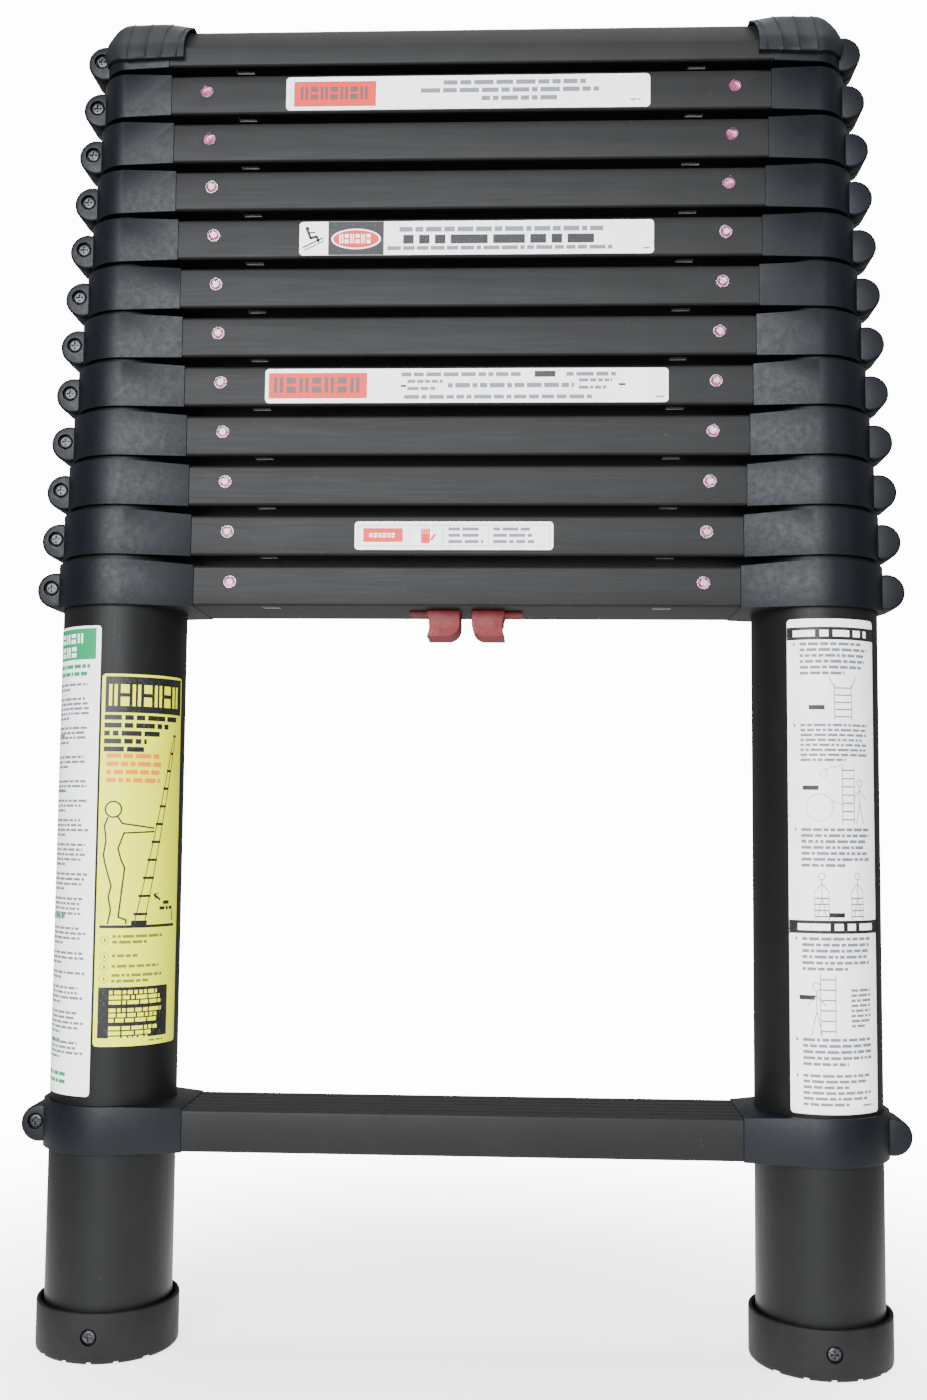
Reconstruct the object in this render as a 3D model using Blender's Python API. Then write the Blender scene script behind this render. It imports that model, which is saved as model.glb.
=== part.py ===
"""Telescoping ladder, collapsed: thirteen rungs on twelve pairs of nested tubes.

The ladder stands on its two feet, with the ground at z = 0 and the front facing -Y.
The base carries the bottom rung and the lock rung. Eleven moving sections, each one rung with a
clamp collar and a tube at both ends, slide up out of it. Units are metres.
Run it with: blender --background --python part.py
"""
import math

import bmesh
import bpy
from mathutils import Matrix, Vector

# Driving dimensions
SECTIONS = 11                  # moving sections above the base
RUNG_SPACING = 0.300           # from tread to tread, extended
STACK_PITCH = 0.0285           # from tread to tread, collapsed
BOTTOM_RUNG_Z = 0.110          # underside of the bottom rung
TUBE_AXIS_X = 0.1975           # half the distance between the two columns of tubes
BASE_TUBE_RADIUS = 0.035
TUBE_STEP = 0.00190            # how much smaller in radius each next tube is
TUBE_WALL = 0.0012
SECTION_TUBE_LENGTH = 0.420
BASE_SIDES = 36                # flats around a base tube and its collars
SECTION_SIDES = 16             # flats around a nested tube and its collars
GAP = 0.0003                   # left between pieces that touch
CUT_PAST = 0.010               # how far a cutter runs past what it cuts
LOCK_HOLE_PLAY = 0.0006        # between a lock pin and its hole
BUSH_HEIGHT = 0.014

# Rung extrusion
RUNG_HEIGHT = 0.0228
RUNG_DEPTH = 0.056
RUNG_WALL = 0.0018
RUNG_CORNER = 0.0025
TREAD_GROOVES = 5
GROOVE_WIDTH = 0.0018
GROOVE_DEPTH = 0.0006
DRAIN_SLOT_X = 0.108           # slots under each rung, measured from its middle
DRAIN_SLOT_Y = -0.0210
DRAIN_SLOT = (0.012, 0.006)    # length and width

# Clamp collar
COLLAR_HEIGHT = 0.0252
COLLAR_WALL = 0.0032
COLLAR_HALF_DEPTH = 0.0262     # at the tube's axis, where the tube is thinner than its rung
COLLAR_REACH = 0.0100          # from the tube's wall to the end of the rung
COLLAR_PROUD = 0.0003          # how far a collar stands out from its rung
RUNG_OVERLAP = 0.0010          # how far a moving section's collar wraps its rung
SPIGOT_LENGTH = 0.012          # into a base rung
PLUG_LENGTH = 0.006            # into a moving rung
PLUG_ROOT = 0.002              # how far a plug or spigot starts inside its collar
PLUG_CORNER = 0.0012
EAR_RADIUS = 0.0102
EAR_OFFSET = 0.0038            # from the tube's wall to the ear's centre
EAR_Z = 0.0110
EAR_HALF_DEPTH = 0.012
SPLIT_WIDTH = 0.0020
SCREW_OFFSET = 0.0058          # from the tube's wall to the screw
SCREW_Z = 0.0122
SCREW_RADIUS = 0.0019
SCREW_HEAD_RADIUS = 0.0038
SCREW_HEAD_HEIGHT = 0.0024
SCREW_LENGTH = 0.0220

# Foot
FOOT_RADIUS = 0.0390
FOOT_HEIGHT = 0.0270
FOOT_FLOOR = 0.0050
FOOT_CHAMFER = 0.0026
FOOT_SCREW_Z = 0.0145
FOOT_SCREW_RECESS = 0.0024
FOOT_SCREW_LENGTH = 0.0070
SOLE_GROOVES = 5
SOLE_GROOVE_PITCH = 0.0140
SOLE_GROOVE = (0.0030, 0.0015)  # width and depth

# Release buttons and locks under and inside the lock rung
BUTTON_INNER_X = 0.0033        # half the gap between the two buttons
BUTTON_WIDTH = 0.0188
BUTTON_HEIGHT = 0.0150
BUTTON_DEPTH = 0.030
BUTTON_TAIL = 0.0100
BUTTON_TAIL_HEIGHT = 0.0022
BUTTON_NECK = (0.0090, 0.0100)  # length and width
BUTTON_CORNER = 0.0050
BUTTON_HOLLOW = 0.0014         # depth of the thumb hollow in the outer side
NECK_ABOVE_ROD = 0.0050
RELEASE_TRAVEL = 0.0028
PIN_Z = 0.0114                 # above the rung's underside
PIN_RADIUS = 0.0040
PIN_LENGTH = 0.0340
ROD_RADIUS = 0.0020
SPRING_LENGTH = 0.0270
SPRING_RADIUS = 0.0032
SPRING_WIRE = 0.0005
SPRING_TURNS = 7
STOP_PLATE = 0.0020
WINDOW_INSET = 0.0205          # indicator window, from the end of its rung
WINDOW_Z = 0.0137
WINDOW_RADIUS = 0.0033

# Rubber caps on the top corners
CAP_WALL = 0.0040
CAP_SKIRT_Z = 0.0040           # lower edge, above the top rung's underside
CAP_RUNG_COVER = 0.0090        # how far a cap reaches along the rung
CAP_ROUNDING = 0.0080
CAP_PLAY = 0.0004              # between a cap and what it covers

LOCK_RUNG_Z = BOTTOM_RUNG_Z + RUNG_SPACING
TRAVEL = RUNG_SPACING - STACK_PITCH
FRONT_Y = -RUNG_DEPTH / 2
BASE_RUNG_END_X = TUBE_AXIS_X - BASE_TUBE_RADIUS - COLLAR_REACH
WINDOW_X = BASE_RUNG_END_X - WINDOW_INSET
PIN_TIP_X = TUBE_AXIS_X - BASE_TUBE_RADIUS + TUBE_WALL - GAP
STOP_PLATE_X = PIN_TIP_X - PIN_LENGTH - SPRING_LENGTH

MATERIALS = {
    "painted_aluminium": ((0.045, 0.045, 0.043), 0.42, 0.35),
    "collar_nylon": ((0.022, 0.026, 0.031), 0.48, 0.0),
    "foot_rubber": ((0.022, 0.022, 0.022), 0.75, 0.0),
    "release_red": ((0.36, 0.06, 0.06), 0.45, 0.0),
    "screw_steel": ((0.10, 0.10, 0.11), 0.35, 1.0),
    "pin_steel": ((0.55, 0.55, 0.56), 0.28, 1.0),
    "window_clear": ((0.80, 0.52, 0.62), 0.20, 0.0),
}


def clear_scene():
    for thing in list(bpy.data.objects):
        bpy.data.objects.remove(thing)


def make_materials():
    made = {}
    for name, (color, roughness, metallic) in MATERIALS.items():
        material = bpy.data.materials.new(name)
        material.use_nodes = True
        shader = material.node_tree.nodes["Principled BSDF"]
        shader.inputs["Base Color"].default_value = (*color, 1.0)
        shader.inputs["Roughness"].default_value = roughness
        shader.inputs["Metallic"].default_value = metallic
        made[name] = material
    return made


# Shape helpers -------------------------------------------------------------------------------

def make_object(name, bm):
    """A new object from a bmesh, with its faces turned outwards."""
    bmesh.ops.recalc_face_normals(bm, faces=bm.faces)
    mesh = bpy.data.meshes.new(name)
    bm.to_mesh(mesh)
    bm.free()
    thing = bpy.data.objects.new(name, mesh)
    bpy.context.scene.collection.objects.link(thing)
    return thing


def extruded(name, outline, start, length, axis="Z"):
    """A closed outline extruded along an axis. Along X the outline is (y, z), along Y it is (x, z)."""
    place = {
        "X": lambda a, b: Vector((start, a, b)),
        "Y": lambda a, b: Vector((a, start, b)),
        "Z": lambda a, b: Vector((a, b, start)),
    }[axis]
    along = {"X": Vector((1, 0, 0)), "Y": Vector((0, 1, 0)), "Z": Vector((0, 0, 1))}[axis]
    bm = bmesh.new()
    face = bm.faces.new([bm.verts.new(place(a, b)) for a, b in outline])
    raised = bmesh.ops.extrude_face_region(bm, geom=[face])
    top = [v for v in raised["geom"] if isinstance(v, bmesh.types.BMVert)]
    bmesh.ops.translate(bm, verts=top, vec=along * length)
    return make_object(name, bm)


def box(name, low, high):
    outline = [(low[0], low[1]), (high[0], low[1]), (high[0], high[1]), (low[0], high[1])]
    return extruded(name, outline, low[2], high[2] - low[2])


def turned(name, profile, segments=24):
    """A closed (radius, z) profile turned about Z."""
    bm = bmesh.new()
    corners = [bm.verts.new((radius, 0, z)) for radius, z in profile]
    edges = [bm.edges.new((corners[i - 1], corners[i])) for i in range(len(corners))]
    bmesh.ops.spin(bm, geom=corners + edges, cent=(0, 0, 0), axis=(0, 0, 1),
                   angle=2 * math.pi, steps=segments, use_merge=True)
    bmesh.ops.remove_doubles(bm, verts=bm.verts, dist=1e-6)
    bmesh.ops.dissolve_degenerate(bm, edges=bm.edges, dist=1e-7)
    return make_object(name, bm)


def circle(radius, segments, centre=(0.0, 0.0)):
    angles = [2 * math.pi * i / segments for i in range(segments)]
    return [(centre[0] + radius * math.cos(t), centre[1] + radius * math.sin(t)) for t in angles]


def rounded_rectangle(half_width, low, high, corner, steps=3):
    """An (a, b) outline, counter-clockwise, with a from -half_width to half_width."""
    outline = []
    centres = [(half_width - corner, low + corner, -90), (half_width - corner, high - corner, 0),
               (-half_width + corner, high - corner, 90), (-half_width + corner, low + corner, 180)]
    for a, b, first in centres:
        for i in range(steps + 1):
            t = math.radians(first + 90 * i / steps)
            outline.append((a + corner * math.cos(t), b + corner * math.sin(t)))
    return outline


def combine(piece, tool, operation="DIFFERENCE", solver="EXACT"):
    """Cuts the tool from the piece, or joins it to the piece, and removes the tool."""
    modifier = piece.modifiers.new("combine", "BOOLEAN")
    modifier.operation = operation
    modifier.solver = solver
    modifier.object = tool
    bpy.context.view_layer.update()
    evaluated = piece.evaluated_get(bpy.context.evaluated_depsgraph_get())
    mesh = bpy.data.meshes.new_from_object(evaluated)
    piece.modifiers.clear()
    piece.data = mesh
    bpy.data.objects.remove(tool)
    return piece


def shift(piece, offset=(0, 0, 0), turn_z=0.0):
    """Moves a piece's mesh, turning it about Z first."""
    piece.data.transform(Matrix.Translation(offset) @ Matrix.Rotation(turn_z, 4, "Z"))
    return piece


def duplicate(piece, name):
    other = bpy.data.objects.new(name, piece.data)
    bpy.context.scene.collection.objects.link(other)
    return other


def finish(piece, name, material, body, location=(0, 0, 0), turn_z=0.0):
    """Names a piece, gives it its material and places it under its body's empty."""
    piece.name = name
    piece.data.name = name
    if not piece.data.materials:
        piece.data.materials.append(material)
    piece.data.shade_smooth()
    piece.data.set_sharp_from_angle(angle=math.radians(35))
    piece.parent = body
    piece.location = Vector(location) - body.location
    piece.rotation_euler = (0, 0, turn_z)
    return piece


def body_empty(name, location):
    empty = bpy.data.objects.new("body_" + name, None)
    empty.location = location
    empty.empty_display_size = 0.03
    bpy.context.scene.collection.objects.link(empty)
    return empty


# Tubes ---------------------------------------------------------------------------------------

def tube_radius(section):
    """Outer radius of a section's tubes. Section 0 is the base."""
    return BASE_TUBE_RADIUS - TUBE_STEP * section


def rung_underside(section):
    """Height of the underside of the rung at the top of a section's tubes."""
    return LOCK_RUNG_Z + STACK_PITCH * section


def lock_hole(radius, z):
    """A cutter for the hole that a lock pin enters, on the tube's inward (+X) side."""
    outline = circle(PIN_RADIUS + LOCK_HOLE_PLAY, 8, (0.0, z))
    return extruded("lock_hole", outline, radius - CUT_PAST / 2, CUT_PAST, "X")


def base_tube(inward):
    """The outermost tube, with its lock hole facing inwards and its foot screw's hole in front."""
    radius = tube_radius(0)
    inner = radius - TUBE_WALL
    low = FOOT_FLOOR + GAP
    high = LOCK_RUNG_Z + RUNG_HEIGHT
    tube = turned("base_tube", [(radius, low), (radius, high), (inner, high), (inner, low)], BASE_SIDES)
    hole = lock_hole(radius, LOCK_RUNG_Z + PIN_Z)
    if inward < 0:
        shift(hole, turn_z=math.pi)
    combine(tube, hole)
    screw_hole = circle(SCREW_RADIUS + GAP, 8, (0.0, FOOT_SCREW_Z))
    return combine(tube, extruded("screw_hole", screw_hole, -radius - CUT_PAST / 2, CUT_PAST, "Y"))


def section_tube(section):
    """A nested tube: its nylon guide bush is the wider band at its foot."""
    radius = tube_radius(section)
    inner = radius - TUBE_WALL
    bush = radius + GAP
    high = rung_underside(section) + RUNG_HEIGHT
    low = high - SECTION_TUBE_LENGTH
    profile = [(bush, low), (bush, low + BUSH_HEIGHT), (radius, low + BUSH_HEIGHT),
               (radius, high), (inner, high), (inner, low)]
    tube = turned("section_tube", profile, SECTION_SIDES)
    hole_z = rung_underside(section - 1) + PIN_Z - TRAVEL
    return combine(tube, lock_hole(radius, hole_z))


# Rungs ---------------------------------------------------------------------------------------

def rung_half_length(section):
    return TUBE_AXIS_X - tube_radius(section) - COLLAR_REACH


def rung_shell(half_length, z, groove_count=0):
    """A hollow rung extrusion, open at both ends, with a slot through its underside near each end."""
    half_depth = RUNG_DEPTH / 2
    outer = rounded_rectangle(half_depth, z, z + RUNG_HEIGHT, RUNG_CORNER, 2)
    inner = rounded_rectangle(half_depth - RUNG_WALL, z + RUNG_WALL, z + RUNG_HEIGHT - RUNG_WALL,
                              RUNG_CORNER - 0.001, 1)
    shell = extruded("rung", outer, -half_length, 2 * half_length, "X")
    run = 2 * (half_length + CUT_PAST)
    combine(shell, extruded("hollow", inner, -run / 2, run, "X"))
    slot_length, slot_width = DRAIN_SLOT
    front = DRAIN_SLOT_Y - slot_width / 2
    for side in (-1, 1):
        start = side * DRAIN_SLOT_X - slot_length / 2
        combine(shell, box("slot", (start, front, z - CUT_PAST / 2),
                           (start + slot_length, front + slot_width, z + CUT_PAST / 2)))
    top = z + RUNG_HEIGHT
    for i in range(groove_count):
        y = RUNG_DEPTH * ((i + 1) / (groove_count + 1) - 0.5)
        combine(shell, box("groove", (-run / 2, y - GROOVE_WIDTH / 2, top - GROOVE_DEPTH),
                           (run / 2, y + GROOVE_WIDTH / 2, top + CUT_PAST)))
    return shell


def stop_plate():
    """The plate across the lock rung that its spring pushes against, with a hole for the pull rod."""
    half_depth = (RUNG_DEPTH - RUNG_WALL) / 2
    plate = box("plate", (-STOP_PLATE / 2, -half_depth, LOCK_RUNG_Z + RUNG_WALL / 2),
                (STOP_PLATE / 2, half_depth, LOCK_RUNG_Z + RUNG_HEIGHT - RUNG_WALL / 2))
    hole = circle(ROD_RADIUS + GAP, 12, (0.0, LOCK_RUNG_Z + PIN_Z))
    return combine(plate, extruded("rod_hole", hole, -CUT_PAST, 2 * CUT_PAST, "X"))


def lock_rung():
    """The rung at the top of the base: it holds the locks, the buttons and two indicator windows."""
    half_length = rung_half_length(0) - GAP
    shell = rung_shell(half_length, LOCK_RUNG_Z)
    neck_length, neck_width = BUTTON_NECK
    slot_outer = BUTTON_INNER_X + BUTTON_WIDTH
    slot_inner = slot_outer - neck_length - RELEASE_TRAVEL - 4 * GAP
    for side in (-1, 1):
        combine(shell, shift(stop_plate(), (side * STOP_PLATE_X, 0, 0)), "UNION")
        low, high = sorted((side * slot_inner, side * slot_outer))
        combine(shell, box("button_slot", (low, -neck_width / 2 - 2 * GAP, LOCK_RUNG_Z - CUT_PAST / 2),
                           (high, neck_width / 2 + 2 * GAP, LOCK_RUNG_Z + CUT_PAST / 2)))
        centre = (side * WINDOW_X, LOCK_RUNG_Z + WINDOW_Z)
        window_hole = extruded("window_hole", circle(WINDOW_RADIUS + GAP, 16, centre),
                               FRONT_Y - CUT_PAST / 2, CUT_PAST, "Y")
        combine(shell, window_hole)
    return shell


# Clamp collars -------------------------------------------------------------------------------

def collar_outline(radius, margin=0.0, rung_reach=0.0, steps=12):
    """Plan of a collar: an ellipse about its tube, drawn out to the rung's depth on the +X side."""
    ring = radius + COLLAR_WALL + margin
    widen = max(1.0, (COLLAR_HALF_DEPTH + margin) / ring)
    end_x = radius + COLLAR_REACH
    half_depth = RUNG_DEPTH / 2 + COLLAR_PROUD + margin
    round_depth = half_depth / widen
    tangent = math.atan2(round_depth, end_x) + math.acos(ring / math.hypot(end_x, round_depth))
    outline = []
    if rung_reach:
        outline += [(end_x + rung_reach, -half_depth), (end_x + rung_reach, half_depth)]
    outline += [(end_x, half_depth)]
    for i in range(steps + 1):
        t = tangent + (2 * math.pi - 2 * tangent) * i / steps
        outline.append((ring * math.cos(t), widen * ring * math.sin(t)))
    outline.append((end_x, -half_depth))
    return outline


def collar(radius, z, flats, rung_reach=0.0):
    """A clamp collar about its tube's axis: rung side at +X, split ear at -X."""
    outline = collar_outline(radius, rung_reach=rung_reach)
    solid = extruded("collar", outline, z - COLLAR_PROUD, COLLAR_HEIGHT + COLLAR_PROUD)
    ear_x = -radius - EAR_OFFSET
    ear = extruded("ear", circle(EAR_RADIUS, 12, (ear_x, z + EAR_Z)), -EAR_HALF_DEPTH,
                   2 * EAR_HALF_DEPTH, "Y")
    combine(solid, ear, "UNION")
    low = z - CUT_PAST
    high = z + COLLAR_HEIGHT + CUT_PAST
    combine(solid, extruded("bore", circle(radius + GAP, flats), low, high - low))
    return combine(solid, box("split", (ear_x - 2 * EAR_RADIUS, -SPLIT_WIDTH / 2, low),
                              (-radius + CUT_PAST / 2, SPLIT_WIDTH / 2, high)))


def drill_ear(solid, radius, z):
    """The clamp screw's hole along Y through a collar's ear, with a recess for its head in front."""
    centre = (-radius - SCREW_OFFSET, z + SCREW_Z)
    front = -EAR_HALF_DEPTH - CUT_PAST
    combine(solid, extruded("screw_hole", circle(SCREW_RADIUS + GAP, 8, centre), front, -2 * front, "Y"))
    recess = circle(SCREW_HEAD_RADIUS + GAP, 12, centre)
    combine(solid, extruded("head_recess", recess, front, CUT_PAST + SCREW_HEAD_HEIGHT + GAP, "Y"))


def end_plug(radius, z):
    """The end of a moving section's collar, pressed into its rung."""
    inset = RUNG_WALL / 2
    outline = rounded_rectangle(RUNG_DEPTH / 2 - inset, z + inset, z + RUNG_HEIGHT - inset, PLUG_CORNER, 1)
    return extruded("plug", outline, radius + COLLAR_REACH - PLUG_ROOT, PLUG_LENGTH, "X")


def collar_with_spigot(z, pin_bore):
    """A base collar: a spigot enters the hollow rung, and the lock collar guides its lock pin."""
    radius = tube_radius(0)
    solid = collar(radius, z, BASE_SIDES)
    drill_ear(solid, radius, z)
    clear = RUNG_WALL + GAP
    outline = rounded_rectangle(RUNG_DEPTH / 2 - clear, z + clear, z + RUNG_HEIGHT - clear, PLUG_CORNER, 1)
    start = radius + COLLAR_REACH - PLUG_ROOT
    combine(solid, extruded("spigot", outline, start, PLUG_ROOT + SPIGOT_LENGTH, "X"), "UNION")
    if pin_bore:
        bore = circle(PIN_RADIUS + GAP, 16, (0.0, z + PIN_Z))
        run = COLLAR_REACH + SPIGOT_LENGTH + 2 * CUT_PAST
        combine(solid, extruded("pin_bore", bore, radius - CUT_PAST, run, "X"))
    return solid


def clamp_screw(z):
    """A pan-head screw along Y, in a base collar's ear, with its head in front."""
    profile = [(0.0, 0.0), (SCREW_HEAD_RADIUS, 0.0), (SCREW_HEAD_RADIUS, SCREW_HEAD_HEIGHT * 0.6),
               (SCREW_HEAD_RADIUS * 0.6, SCREW_HEAD_HEIGHT), (0.0, SCREW_HEAD_HEIGHT)]
    head = turned("clamp_screw", profile, 12)
    shank = extruded("shank", circle(SCREW_RADIUS, 8), -SCREW_LENGTH,
                     SCREW_LENGTH + SCREW_HEAD_HEIGHT / 2)
    combine(head, shank, "UNION")
    head.data.transform(Matrix.Rotation(math.radians(90), 4, "X"))
    x = -tube_radius(0) - SCREW_OFFSET
    return shift(head, (x, -EAR_HALF_DEPTH + SCREW_HEAD_HEIGHT, z + SCREW_Z))


# Locks and release buttons -------------------------------------------------------------------

def lock_pin():
    """A lock pin with its pull rod, along X: its tip stands in the base tube's lock hole."""
    z = LOCK_RUNG_Z + PIN_Z
    pin = extruded("lock_pin", circle(PIN_RADIUS, 16, (0.0, z)), -PIN_TIP_X, PIN_LENGTH, "X")
    rod_start = -PIN_TIP_X + PIN_LENGTH / 2
    rod_end = -BUTTON_INNER_X - BUTTON_WIDTH / 2
    rod = extruded("rod", circle(ROD_RADIUS, 10, (0.0, z)), rod_start, rod_end - rod_start, "X")
    return combine(pin, rod, "UNION")


def lock_spring():
    """The compression spring around the pull rod, between the pin's shoulder and its stop plate."""
    z = LOCK_RUNG_Z + PIN_Z
    start_x = -PIN_TIP_X + PIN_LENGTH + 2 * SPRING_WIRE
    end_x = -STOP_PLATE_X - STOP_PLATE / 2 - 2 * SPRING_WIRE
    points_per_turn = 8
    count = SPRING_TURNS * points_per_turn
    curve = bpy.data.curves.new("lock_spring", "CURVE")
    curve.dimensions = "3D"
    curve.bevel_depth = SPRING_WIRE
    curve.bevel_resolution = 0
    curve.use_fill_caps = True
    spline = curve.splines.new("POLY")
    spline.points.add(count)
    for i in range(count + 1):
        t = 2 * math.pi * i / points_per_turn
        x = start_x + (end_x - start_x) * i / count
        spline.points[i].co = (x, SPRING_RADIUS * math.cos(t), z + SPRING_RADIUS * math.sin(t), 1.0)
    coil = bpy.data.objects.new("coil", curve)
    bpy.context.scene.collection.objects.link(coil)
    bpy.context.view_layer.update()
    evaluated = coil.evaluated_get(bpy.context.evaluated_depsgraph_get())
    mesh = bpy.data.meshes.new_from_object(evaluated)
    bpy.data.objects.remove(coil)
    bm = bmesh.new()
    bm.from_mesh(mesh)
    bmesh.ops.remove_doubles(bm, verts=bm.verts, dist=1e-6)
    return make_object("lock_spring", bm)


def release_button():
    """The left thumb button: a block with a hollowed outer side, a flange and a neck up into the rung."""
    top = LOCK_RUNG_Z - GAP
    inner = -BUTTON_INNER_X
    outer = inner - BUTTON_WIDTH
    low = top - BUTTON_HEIGHT
    flange = top - BUTTON_TAIL_HEIGHT
    outline = [(outer - BUTTON_TAIL, top), (outer - BUTTON_TAIL, flange)]
    hollow_steps = 5
    for i in range(hollow_steps + 1):
        share = i / hollow_steps
        hollow = BUTTON_HOLLOW * math.sin(math.pi * share)
        outline.append((outer + hollow, flange + (low - flange) * share))
    centre_x = inner - BUTTON_CORNER
    centre_z = low + BUTTON_CORNER
    for i in range(5):
        t = math.radians(-90 + 90 * i / 4)
        outline.append((centre_x + BUTTON_CORNER * math.cos(t), centre_z + BUTTON_CORNER * math.sin(t)))
    outline.append((inner, top))
    block = extruded("release_button", outline, -BUTTON_DEPTH / 2, BUTTON_DEPTH, "Y")
    neck_length, neck_width = BUTTON_NECK
    neck_x = outer + 2 * GAP
    neck_top = LOCK_RUNG_Z + PIN_Z + NECK_ABOVE_ROD
    neck = box("neck", (neck_x, -neck_width / 2, low + BUTTON_CORNER),
               (neck_x + neck_length, neck_width / 2, neck_top))
    combine(block, neck, "UNION")
    rod_hole = circle(ROD_RADIUS + GAP, 10, (0.0, LOCK_RUNG_Z + PIN_Z))
    run = BUTTON_WIDTH + 2 * CUT_PAST
    return combine(block, extruded("rod_hole", rod_hole, outer - CUT_PAST, run, "X"))


def indicator_window():
    """A clear round window in the lock rung's front: it shows the lock's colour flag."""
    outline = circle(WINDOW_RADIUS, 16, (0.0, LOCK_RUNG_Z + WINDOW_Z))
    return extruded("window", outline, FRONT_Y - GAP, RUNG_WALL + GAP, "Y")


# Feet and caps -------------------------------------------------------------------------------

def foot():
    """A rubber boot on the end of a base tube, with grooves across its sole."""
    bore = tube_radius(0) + GAP
    chamfer = FOOT_CHAMFER
    profile = [(0.0, 0.0), (FOOT_RADIUS - chamfer, 0.0), (FOOT_RADIUS - GAP, chamfer),
               (FOOT_RADIUS, FOOT_HEIGHT), (bore + chamfer / 2, FOOT_HEIGHT),
               (bore, FOOT_HEIGHT - chamfer), (bore, FOOT_FLOOR), (0.0, FOOT_FLOOR)]
    boot = turned("foot", profile, BASE_SIDES)
    width, depth = SOLE_GROOVE
    for i in range(SOLE_GROOVES):
        x = (i - (SOLE_GROOVES - 1) / 2) * SOLE_GROOVE_PITCH
        combine(boot, box("sole_groove", (x - width / 2, -2 * FOOT_RADIUS, -CUT_PAST),
                          (x + width / 2, 2 * FOOT_RADIUS, depth)))
    front = -FOOT_RADIUS - CUT_PAST
    hole = circle(SCREW_RADIUS + GAP, 8, (0.0, FOOT_SCREW_Z))
    combine(boot, extruded("screw_hole", hole, front, 2 * CUT_PAST, "Y"))
    recess = circle(SCREW_HEAD_RADIUS + 2 * GAP, 12, (0.0, FOOT_SCREW_Z))
    return combine(boot, extruded("head_recess", recess, front, CUT_PAST + FOOT_SCREW_RECESS, "Y"))


def foot_screw():
    """The screw through the front of a foot and its tube."""
    top = FOOT_SCREW_RECESS - 2 * GAP
    profile = [(0.0, 0.0), (SCREW_HEAD_RADIUS, 0.0), (SCREW_HEAD_RADIUS, top / 2),
               (SCREW_HEAD_RADIUS * 0.6, top), (0.0, top)]
    head = turned("foot_screw", profile, 12)
    shank = extruded("shank", circle(SCREW_RADIUS, 8), -FOOT_SCREW_LENGTH, FOOT_SCREW_LENGTH + top / 2)
    combine(head, shank, "UNION")
    head.data.transform(Matrix.Rotation(math.radians(90), 4, "X"))
    return shift(head, (0, -FOOT_RADIUS + FOOT_SCREW_RECESS - GAP, FOOT_SCREW_Z))


def corner_cap():
    """The rubber cap over a corner of the top rung, about its tube's axis, with the rung at +X."""
    radius = tube_radius(SECTIONS)
    z = rung_underside(SECTIONS)
    low = z + CAP_SKIRT_Z
    inside = z + COLLAR_HEIGHT + GAP
    outline = collar_outline(radius, CAP_WALL, CAP_RUNG_COVER, 14)
    cap = extruded("cap", outline, low, inside + CAP_WALL - low)
    bm = bmesh.new()
    bm.from_mesh(cap.data)
    middle_z = (low + inside + CAP_WALL) / 2
    end_x = radius + COLLAR_REACH + CAP_RUNG_COVER / 2
    rim = [e for e in bm.edges if all(v.co.z > middle_z for v in e.verts)
           and not all(v.co.x > end_x for v in e.verts)]
    bmesh.ops.bevel(bm, geom=rim, offset=CAP_ROUNDING, segments=3, profile=0.5, affect="EDGES",
                    clamp_overlap=True)
    bm.to_mesh(cap.data)
    bm.free()
    room = collar_outline(radius, CAP_PLAY, RUNG_OVERLAP + CAP_PLAY)
    combine(cap, extruded("collar_room", room, z - CUT_PAST, inside - z + CUT_PAST))
    rung_room = rounded_rectangle(RUNG_DEPTH / 2 + CAP_PLAY, z - CUT_PAST, z + RUNG_HEIGHT + CAP_PLAY,
                                  PLUG_CORNER, 1)
    start = radius + COLLAR_REACH - PLUG_ROOT
    combine(cap, extruded("rung_room", rung_room, start, CAP_RUNG_COVER + CUT_PAST, "X"))
    half_depth = EAR_HALF_DEPTH + 2 * CAP_PLAY
    ear_x = -radius - EAR_OFFSET
    ear_top = z + EAR_Z + EAR_RADIUS + 2 * CAP_PLAY
    return combine(cap, box("ear_room", (ear_x - 2 * EAR_RADIUS, -half_depth, z - CUT_PAST),
                            (ear_x + EAR_RADIUS / 2, half_depth, ear_top)))


# Assembly ------------------------------------------------------------------------------------

def place_pair(piece, names, material, body):
    """Places a piece made about the left tube's axis, and its copy turned half a turn for the right."""
    left, right = names
    other = duplicate(piece, right)
    finish(piece, left, material, body, (-TUBE_AXIS_X, 0, 0))
    finish(other, right, material, body, (TUBE_AXIS_X, 0, 0), math.pi)


def place_turned_pair(piece, names, material, bodies):
    """Places a piece made in the ladder's own frame, and its copy turned about the middle."""
    left, right = names
    other = duplicate(piece, right)
    finish(piece, left, material, bodies[0])
    finish(other, right, material, bodies[1], turn_z=math.pi)


def sides(name):
    return name + "_left", name + "_right"


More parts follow.
